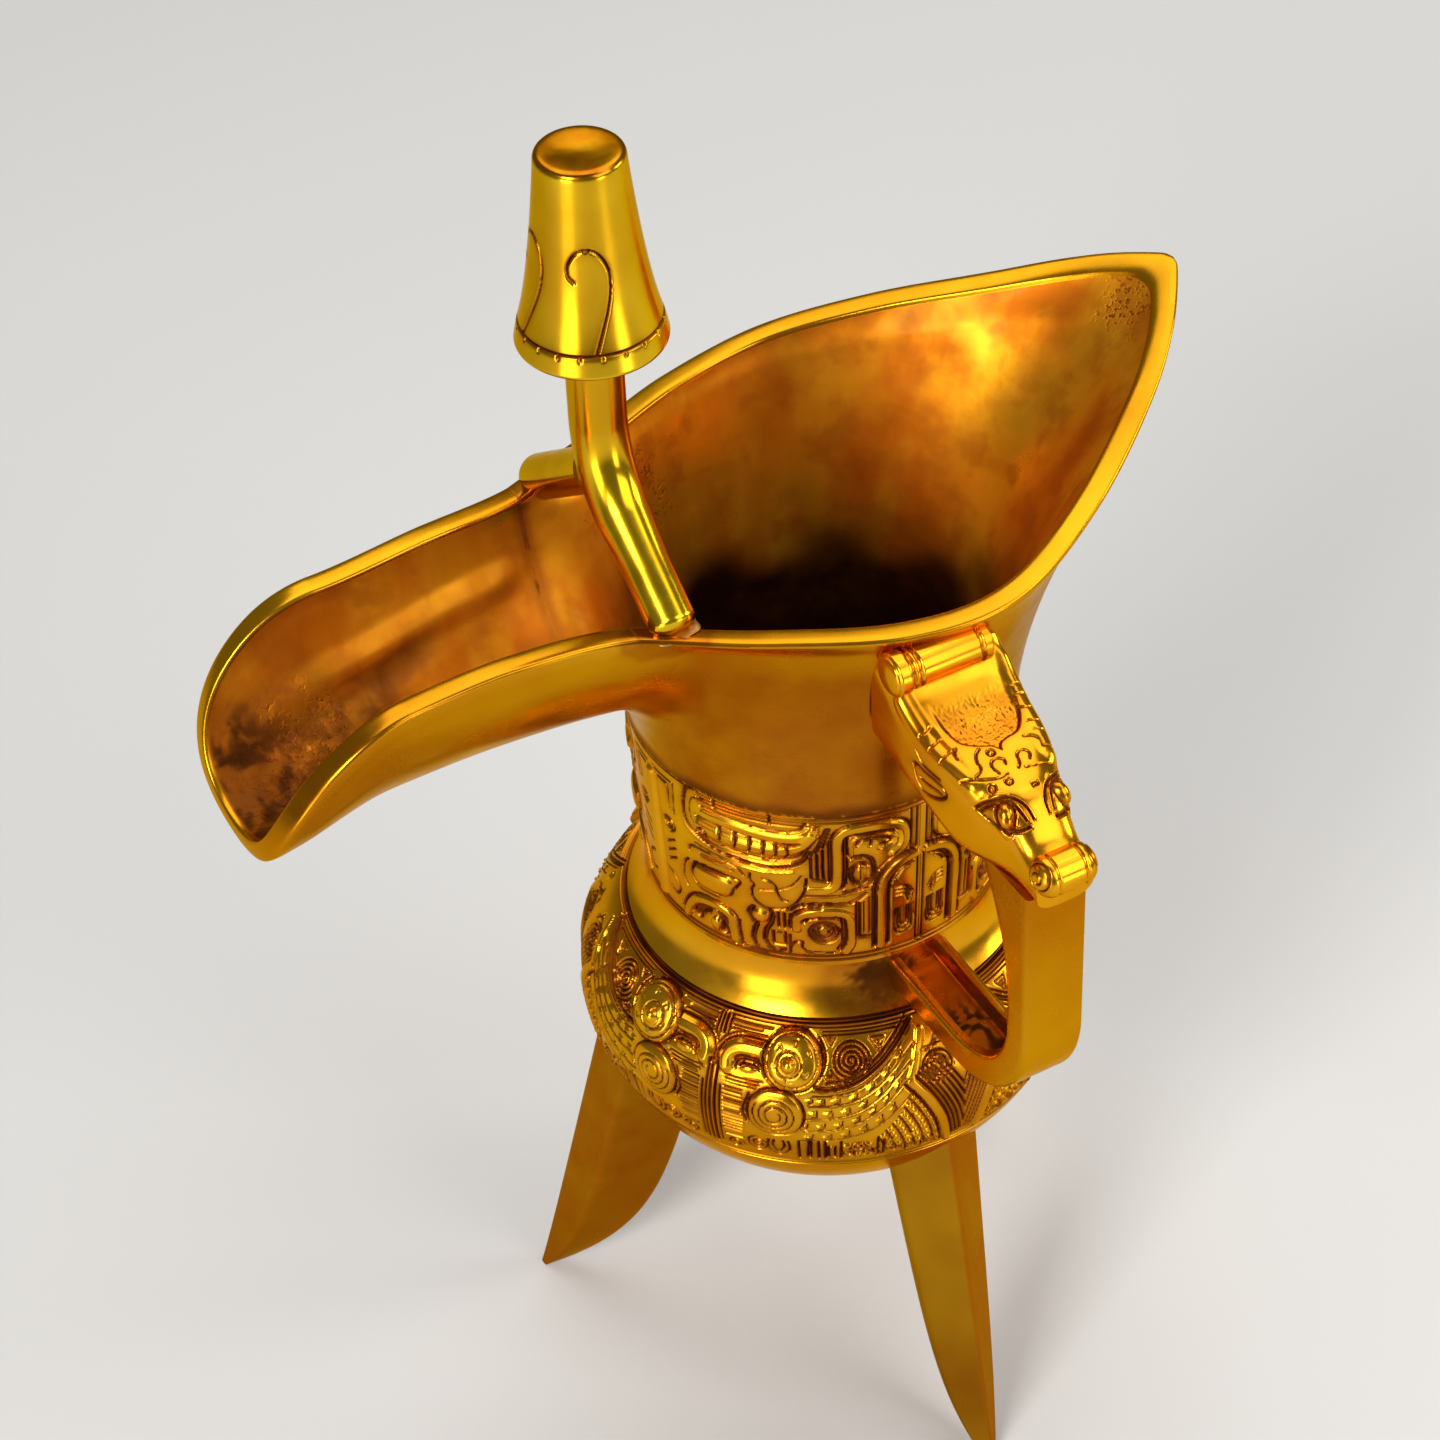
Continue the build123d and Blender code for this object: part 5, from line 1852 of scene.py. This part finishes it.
        tones["stain"] = np.maximum(tones["stain"], 0.75 * ease(self.cap_top_z - 0.9, self.cap_top_z, z))
        return [Sheet(points, around=True, tones=tones)]


class Tangle:
    """A node tree being wired: makes nodes, sets their sockets and joins them."""

    def __init__(self, tree: Tree) -> None:
        """Keep the tree."""
        self.tree = tree

    def node(self, kind: str, **sockets: object) -> bpy.types.Node:
        """A node with its input sockets joined or set, spaces in their names written as underscores."""
        node = self.tree.nodes.new(kind)
        for name, value in sockets.items():
            self.put(node.inputs[name.replace("_", " ")], value)
        return node

    def put(self, socket: Socket, value: object) -> None:
        """Join an output to a socket, or set the socket's value."""
        if isinstance(value, Socket):
            self.tree.links.new(value, socket)
        else:
            socket.default_value = value

    def noise(self, place: Socket, scale: object, detail: float) -> Socket:
        """Noise at a place, from 0 to 1."""
        return self.node("ShaderNodeTexNoise", Vector=place, Scale=scale, Detail=detail).outputs["Fac"]

    def span(self, value: object, low: float, high: float, to_low: object, to_high: object) -> Socket:
        """A value moved from one range to another, held at the ends."""
        ends = {"From_Min": low, "From_Max": high, "To_Min": to_low, "To_Max": to_high}
        return self.node("ShaderNodeMapRange", Value=value, **ends).outputs["Result"]

    def blend(self, share: object, first: object, second: object) -> Socket:
        """A mix of two colours by a share."""
        node = self.tree.nodes.new("ShaderNodeMix")
        node.data_type = "RGBA"
        self.put(node.inputs["Factor"], share)
        self.put(node.inputs[6], first)
        self.put(node.inputs[7], second)
        return node.outputs[2]

    def plus(self, first: object, second: object) -> Socket:
        """Two values added."""
        return self.maths("ADD", first, second)

    def minus(self, first: object, second: object) -> Socket:
        """The second value taken from the first."""
        return self.maths("SUBTRACT", first, second)

    def times(self, first: object, second: object) -> Socket:
        """Two values multiplied."""
        return self.maths("MULTIPLY", first, second)

    def maths(self, way: str, first: object, second: object) -> Socket:
        """Two values joined by one of the maths node's operations."""
        node = self.tree.nodes.new("ShaderNodeMath")
        node.operation = way
        self.put(node.inputs[0], first)
        self.put(node.inputs[1], second)
        return node.outputs[0]


def group_tree(name: str, inputs: Sockets, outputs: Sockets) -> Tangle:
    """A shader node group with named sockets.

    Args:
        name: the group's name.
        inputs: (name, kind) of each input, where kind is Float, Color or Vector.
        outputs: the same for each output.

    Returns:
        The group's tree, ready for wiring.
    """
    tree = bpy.data.node_groups.new(name, "ShaderNodeTree")
    for way, sockets in (("INPUT", inputs), ("OUTPUT", outputs)):
        for socket, kind in sockets:
            tree.interface.new_socket(socket, in_out=way, socket_type="NodeSocket" + kind)
    return Tangle(tree)


AMBER = (0.62, 0.25, 0.008, 1.0)
BROWN = (0.46, 0.115, 0.004, 1.0)
RUST = (0.36, 0.1, 0.005, 1.0)
OXBLOOD = (0.21, 0.045, 0.004, 1.0)
PITCH = (0.035, 0.009, 0.003, 1.0)
TONES = ("recess", "stain", "inside", "soot", "pitted")


@dataclass(frozen=True)
class FinishKit:
    """The effects that the finishes share, as node groups.

    Attributes:
        clouds: gold that drifts between two tones.
        polish: hand-polishing lines.
        patina: brown in recesses, on inner walls and under soot and painted shade.
    """

    clouds: Tree
    polish: Tree
    patina: Tree

    @classmethod
    def build(cls) -> "FinishKit":
        """Make the three groups."""
        return cls(cls.make_clouds(), cls.make_polish(), cls.make_patina())

    @staticmethod
    def make_clouds() -> Tree:
        """Soft noise that mixes a light and a warm tone."""
        wire = group_tree(
            "clouded_gold",
            (("Place", "Vector"), ("Light", "Color"), ("Warm", "Color"), ("Scale", "Float")),
            (("Color", "Color"),),
        )
        given = wire.node("NodeGroupInput").outputs
        share = wire.span(wire.noise(given["Place"], given["Scale"], 3.0), 0.38, 0.66, 0.0, 1.0)
        wire.node("NodeGroupOutput", Color=wire.blend(share, given["Light"], given["Warm"]))
        return wire.tree

    @staticmethod
    def make_polish() -> Tree:
        """Stretched noise for file and polishing lines, as a roughness and a height."""
        wire = group_tree(
            "hand_polish",
            (("Place", "Vector"), ("Smooth", "Float"), ("Rough", "Float")),
            (("Roughness", "Float"), ("Height", "Float")),
        )
        given = wire.node("NodeGroupInput").outputs
        lines = wire.noise(given["Place"], 1.0, 3.0)
        rough = wire.span(lines, 0.3, 0.7, given["Smooth"], given["Rough"])
        wire.node("NodeGroupOutput", Roughness=rough, Height=lines)
        return wire.tree

    @staticmethod
    def make_patina() -> Tree:
        """Red-brown in the cuts, mottled amber to brown inside with streaks that are partly painted sheen,
        and near black under soot and painted shade.
        """
        wire = group_tree(
            "patina",
            (
                ("Place", "Vector"),
                ("Streak", "Vector"),
                ("Gold", "Color"),
                ("Roughness", "Float"),
                *((tone.capitalize(), "Float") for tone in TONES),
            ),
            (("Color", "Color"), ("Roughness", "Float"), ("Metallic", "Float"), ("Height", "Float")),
        )
        given = wire.node("NodeGroupInput").outputs
        broad = wire.noise(given["Place"], 38.0, 4.0)
        middle = wire.noise(given["Place"], 170.0, 4.0)
        grain = wire.noise(given["Place"], 900.0, 2.0)
        drift = wire.plus(wire.times(broad, 0.7), wire.times(middle, 0.3))
        # vertical streaks of lighter amber and darker brown on inner walls: streaky patina, and painted
        # sheen streaks
        streaks = wire.noise(given["Streak"], 1.0, 5.0)
        streak = wire.plus(wire.times(drift, 0.4), wire.times(streaks, 0.6))
        inner = wire.blend(wire.span(streak, 0.43, 0.57, 0.0, 1.0), AMBER, BROWN)
        inner = wire.blend(wire.span(middle, 0.52, 0.68, 0.0, 0.6), inner, RUST)
        colour = wire.blend(given["Inside"], given["Gold"], inner)
        # rust wash from the stain tone, which carries real stains and also painted shade on the mouth wall
        # and the legs
        washed = wire.span(given["Stain"], 0.0, 0.48, 0.0, 1.0)
        washed = wire.times(washed, wire.span(middle, 0.3, 0.65, 0.55, 1.0))
        colour = wire.blend(washed, colour, RUST)
        cut = wire.times(given["Recess"], 0.96)
        dark = wire.blend(wire.span(middle, 0.35, 0.65, 0.0, 0.7), OXBLOOD, PITCH)
        colour = wire.blend(cut, colour, dark)
        # near black where the soot tone carries soot or painted shade
        soot = wire.times(given["Soot"], wire.span(drift, 0.36, 0.58, 0.7, 1.0))
        colour = wire.blend(soot, colour, PITCH)
        speck = wire.span(wire.noise(given["Place"], 1300.0, 3.0), 0.52, 0.62, 0.0, 1.0)
        pit = wire.times(given["Pitted"], speck)
        colour = wire.blend(wire.times(pit, 0.9), colour, OXBLOOD)
        rough = wire.plus(given["Roughness"], wire.times(cut, 0.3))
        dull = wire.span(drift, 0.42, 0.58, 0.07, 0.24)
        rough = wire.plus(rough, wire.times(given["Inside"], dull))
        rough = wire.plus(rough, wire.times(soot, 0.25))
        grit = wire.plus(wire.times(given["Inside"], 0.3), wire.times(given["Recess"], 0.4))
        height = wire.minus(wire.times(grain, grit), wire.times(pit, 2.0))
        skin = wire.times(wire.times(given["Inside"], 0.24), wire.minus(1.0, soot))
        metal = wire.minus(1.0, skin)
        wire.node("NodeGroupOutput", Color=colour, Roughness=rough, Metallic=metal, Height=height)
        return wire.tree


@dataclass(frozen=True)
class GiltFinish:
    """Polished gilt brass with patina where the piece carries it.

    Attributes:
        name: the material's name.
        light: its clearer gold.
        warm: its deeper gold.
        smooth: roughness of the best polished places.
        rough: roughness of the least polished places.
        cloud: scale of the drift between the two golds.
        lines: stretch of the polishing lines along the three axes.
        edge: tint of the reflection at a glancing angle.
        lacquer: weight of the clear coat.
        lacquer_rough: roughness of the clear coat.
        gloss: level of the reflection where the skin isn't metal.
        streaks: stretch of the streaks on inner walls along the three axes.
        line_bump: strength of the polishing lines' relief.
        grit_bump: strength of the relief of grit and pits.
        bump_depth: depth of both reliefs in metres.
    """

    name: str
    light: Place
    warm: Place
    smooth: float
    rough: float
    cloud: float
    lines: Place
    edge: Place = (0.95, 0.7, 0.25)
    lacquer: float = 0.02
    lacquer_rough: float = 0.1
    gloss: float = 0.15
    streaks: Place = (90.0, 90.0, 18.0)
    line_bump: float = 0.07
    grit_bump: float = 0.5
    bump_depth: float = 0.0001

    def material(self, kit: FinishKit) -> bpy.types.Material:
        """The finish as a material."""
        material = bpy.data.materials.new(self.name)
        material.use_nodes = True
        wire = Tangle(material.node_tree)
        shader = material.node_tree.nodes["Principled BSDF"]
        place = wire.node("ShaderNodeTexCoord").outputs["Object"]
        stretched = wire.node("ShaderNodeMapping", Vector=place, Scale=self.lines).outputs["Vector"]
        streaks = wire.node("ShaderNodeMapping", Vector=place, Scale=self.streaks).outputs["Vector"]
        light, warm = (*self.light, 1.0), (*self.warm, 1.0)
        gold = self.group(wire, kit.clouds, Place=place, Light=light, Warm=warm, Scale=self.cloud)
        polish = self.group(wire, kit.polish, Place=stretched, Smooth=self.smooth, Rough=self.rough)
        patina = self.group(
            wire,
            kit.patina,
            Place=place,
            Streak=streaks,
            Gold=gold["Color"],
            Roughness=polish["Roughness"],
            **{tone.capitalize(): self.tone(wire, tone) for tone in TONES},
        )
        deep = self.bump_depth
        lines = wire.node("ShaderNodeBump", Strength=self.line_bump, Distance=deep, Height=polish["Height"])
        grit = wire.node("ShaderNodeBump", Strength=self.grit_bump, Distance=deep, Height=patina["Height"])
        wire.put(grit.inputs["Normal"], lines.outputs[0])
        for socket in ("Roughness", "Metallic"):
            wire.put(shader.inputs[socket], patina[socket])
        wire.put(shader.inputs["Base Color"], patina["Color"])
        wire.put(shader.inputs["Normal"], grit.outputs[0])
        shader.inputs["Specular Tint"].default_value = (*self.edge, 1.0)
        shader.inputs["Coat Weight"].default_value = self.lacquer
        shader.inputs["Coat Roughness"].default_value = self.lacquer_rough
        shader.inputs["Specular IOR Level"].default_value = self.gloss
        return material

    @staticmethod
    def group(wire: Tangle, tree: Tree, **sockets: object) -> bpy.types.bpy_prop_collection:
        """Place a group, set its inputs and give its outputs."""
        node = wire.tree.nodes.new("ShaderNodeGroup")
        node.node_tree = tree
        for name, value in sockets.items():
            wire.put(node.inputs[name], value)
        return node.outputs

    @staticmethod
    def tone(wire: Tangle, name: str) -> Socket:
        """A value that the piece's points carry."""
        node = wire.node("ShaderNodeAttribute")
        node.attribute_name = name
        return node.outputs["Fac"]


FINISHES = (
    GiltFinish(
        "gilt_body", (0.62, 0.295, 0.007), (0.48, 0.165, 0.004), 0.2, 0.3, 24.0, (150.0, 150.0, 260.0),
    ),
    GiltFinish(
        "gilt_carved", (0.78, 0.39, 0.013), (0.64, 0.23, 0.006), 0.17, 0.27, 34.0, (200.0, 200.0, 300.0),
    ),
    GiltFinish(
        "gilt_leg", (0.43, 0.21, 0.006), (0.28, 0.095, 0.003), 0.26, 0.36, 30.0, (400.0, 400.0, 90.0),
    ),
    GiltFinish(
        "gilt_post", (0.68, 0.43, 0.012), (0.56, 0.29, 0.006), 0.15, 0.25, 60.0, (300.0, 300.0, 120.0),
    ),
    GiltFinish(
        "grey_solder", (0.42, 0.22, 0.07), (0.32, 0.12, 0.02), 0.36, 0.5, 300.0, (500.0, 500.0, 500.0),
    ),
)


@dataclass
class Studio:
    """Floor, lamps and the camera at the photograph's place."""

    azimuth: float = -27.497
    elevation: float = 41.936
    roll: float = -2.76
    lens: float = 102.045
    sensor: float = 36.0
    place: Place = (-200.47, -369.74, 515.41)
    floor_reach: float = 3.0
    floor_colour: Place = (0.6, 0.59, 0.57)
    floor_rough: float = 0.85
    middle: Place = (0.0, 0.0, 0.12)
    room: Place = (0.22, 0.22, 0.22)
    lamps: tuple[tuple[str, Place, float, float], ...] = (
        ("key", (-0.85, -0.5, 0.75), 0.4, 10.0),
        ("overhead", (0.2, 0.4, 1.1), 1.0, 6.8),
        ("front", (0.45, -0.85, 0.75), 0.75, 5.0),
        ("crown", (0.5, -0.25, 1.05), 0.45, 1.2),
        ("fill", (0.95, -0.3, 0.4), 0.35, 3.0),
        ("low_left", (-0.55, -0.3, 0.13), 0.26, 0.9),
        ("low_front", (0.2, -0.58, 0.1), 0.16, 0.4),
    )

    def camera(self) -> None:
        """Camera turned by azimuth, elevation and roll, with the photograph's long lens."""
        az, el, roll = (math.radians(v) for v in (self.azimuth, self.elevation, self.roll))
        back = Vector((math.sin(az) * math.cos(el), -math.cos(az) * math.cos(el), math.sin(el)))
        level = Vector((math.cos(az), math.sin(az), 0.0))
        lift = back.cross(level)
        right = level * math.cos(roll) + lift * math.sin(roll)
        up = lift * math.cos(roll) - level * math.sin(roll)
        data = bpy.data.cameras.new("camera")
        data.lens = self.lens
        data.sensor_width = self.sensor
        data.clip_start = 0.01
        camera = bpy.data.objects.new("camera", data)
        turn = Matrix((right, up, back)).transposed().to_4x4()
        camera.matrix_world = Matrix.Translation(Vector(self.place) * MM) @ turn
        bpy.context.scene.collection.objects.link(camera)
        bpy.context.scene.camera = camera

    def floor(self) -> None:
        """A plain pale floor."""
        mesh = bpy.data.meshes.new("floor")
        reach = self.floor_reach
        corners = [(-reach, -reach, 0), (reach, -reach, 0), (reach, reach, 0), (-reach, reach, 0)]
        mesh.from_pydata(corners, [], [(0, 1, 2, 3)])
        floor = bpy.data.objects.new("floor", mesh)
        bpy.context.scene.collection.objects.link(floor)
        material = bpy.data.materials.new("pale_floor")
        material.use_nodes = True
        shader = material.node_tree.nodes["Principled BSDF"]
        shader.inputs["Base Color"].default_value = (*self.floor_colour, 1.0)
        shader.inputs["Roughness"].default_value = self.floor_rough
        mesh.materials.append(material)

    def lamp(self, name: str, place: Place, size: float, power: float) -> None:
        """A square soft lamp aimed at the middle of the vessel."""
        data = bpy.data.lights.new(name, "AREA")
        data.size = size
        data.energy = power
        lamp = bpy.data.objects.new(name, data)
        aim = Vector(self.middle) - Vector(place)
        lamp.rotation_euler = aim.to_track_quat("-Z", "Y").to_euler()
        lamp.location = place
        bpy.context.scene.collection.objects.link(lamp)

    def lights(self) -> None:
        """Soft lamps at the left, overhead, in front and at the right, two of them low, in a grey room."""
        for name, place, size, power in self.lamps:
            self.lamp(name, place, size, power)
        world = bpy.data.worlds.new("studio")
        world.use_nodes = True
        background = world.node_tree.nodes["Background"]
        background.inputs["Color"].default_value = (*self.room, 1.0)
        background.inputs["Strength"].default_value = 1.0
        bpy.context.scene.world = world
        bpy.context.scene.view_settings.view_transform = "Standard"


def main() -> None:
    """Build every sub-assembly around the frame and light it."""
    logging.basicConfig(level=logging.INFO, format="%(message)s")
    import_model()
    foundry = Foundry.from_frame()
    kit = FinishKit.build()
    body, carved, leg, rod, solder = (finish.material(kit) for finish in FINISHES)
    upper = UpperBody()
    foundry.cast("mouth_wall", upper.mouth_sheets(), ("mouth",), Slot.BODY, body)
    foundry.cast("spout_trough", upper.spout_sheets(), ("spout",), Slot.BODY, body)
    neck = Neck()
    foundry.cast("neck_core", neck.core_sheets(), ("neck",), Slot.CARVED, carved)
    for name, sheets in zip(("neck_frieze_lower", "neck_frieze_upper"), neck.frieze_sheets()):
        foundry.cast(name, sheets, (), Slot.CARVED, carved)
    belly = Belly()
    foundry.cast("belly_bowl", belly.bowl_sheets(), ("belly",), Slot.CARVED, carved)
    for name, sheets in zip(("belly_owls_lower", "belly_owls_upper"), belly.band_sheets()):
        foundry.cast(name, sheets, (), Slot.CARVED, carved)
    legs = Legs()
    for name, angle in (("leg_handle_side", -90.0), ("leg_tail_side", 30.0), ("leg_spout_side", 150.0)):
        foundry.cast(name + "_blade", legs.sheets(angle), (name,), Slot.LEG, leg)
    foundry.cast("handle_strap", HandleLoop().sheets(), ("handle_loop",), Slot.BODY, body)
    head = BeastHead()
    foundry.cast("beast_head", head.sheets(), ("handle_head",), Slot.CARVED, carved)
    foundry.cast("head_root_roll", head.root_roll(), (), Slot.CARVED, carved)
    foundry.cast("head_nose_roll", head.nose_roll(), (), Slot.CARVED, carved)
    post = Post()
    foundry.cast("post_bent_rod", post.rod_sheets(), ("post_rod",), Slot.POST, rod)
    foundry.cast("post_far_leg_rod", post.far_leg_sheets(), ("post_far_leg",), Slot.POST, rod)
    for name, side in (("post_near_solder", -1.0), ("post_far_solder", 1.0)):
        foundry.cast(name, post.solder_sheets(side), (), Slot.POST, solder)
    foundry.cast("post_bell_cap", post.cap_sheets(), ("post_cap",), Slot.POST, rod)
    studio = Studio()
    studio.floor()
    studio.lights()
    studio.camera()


if __name__ == "__main__":
    main()
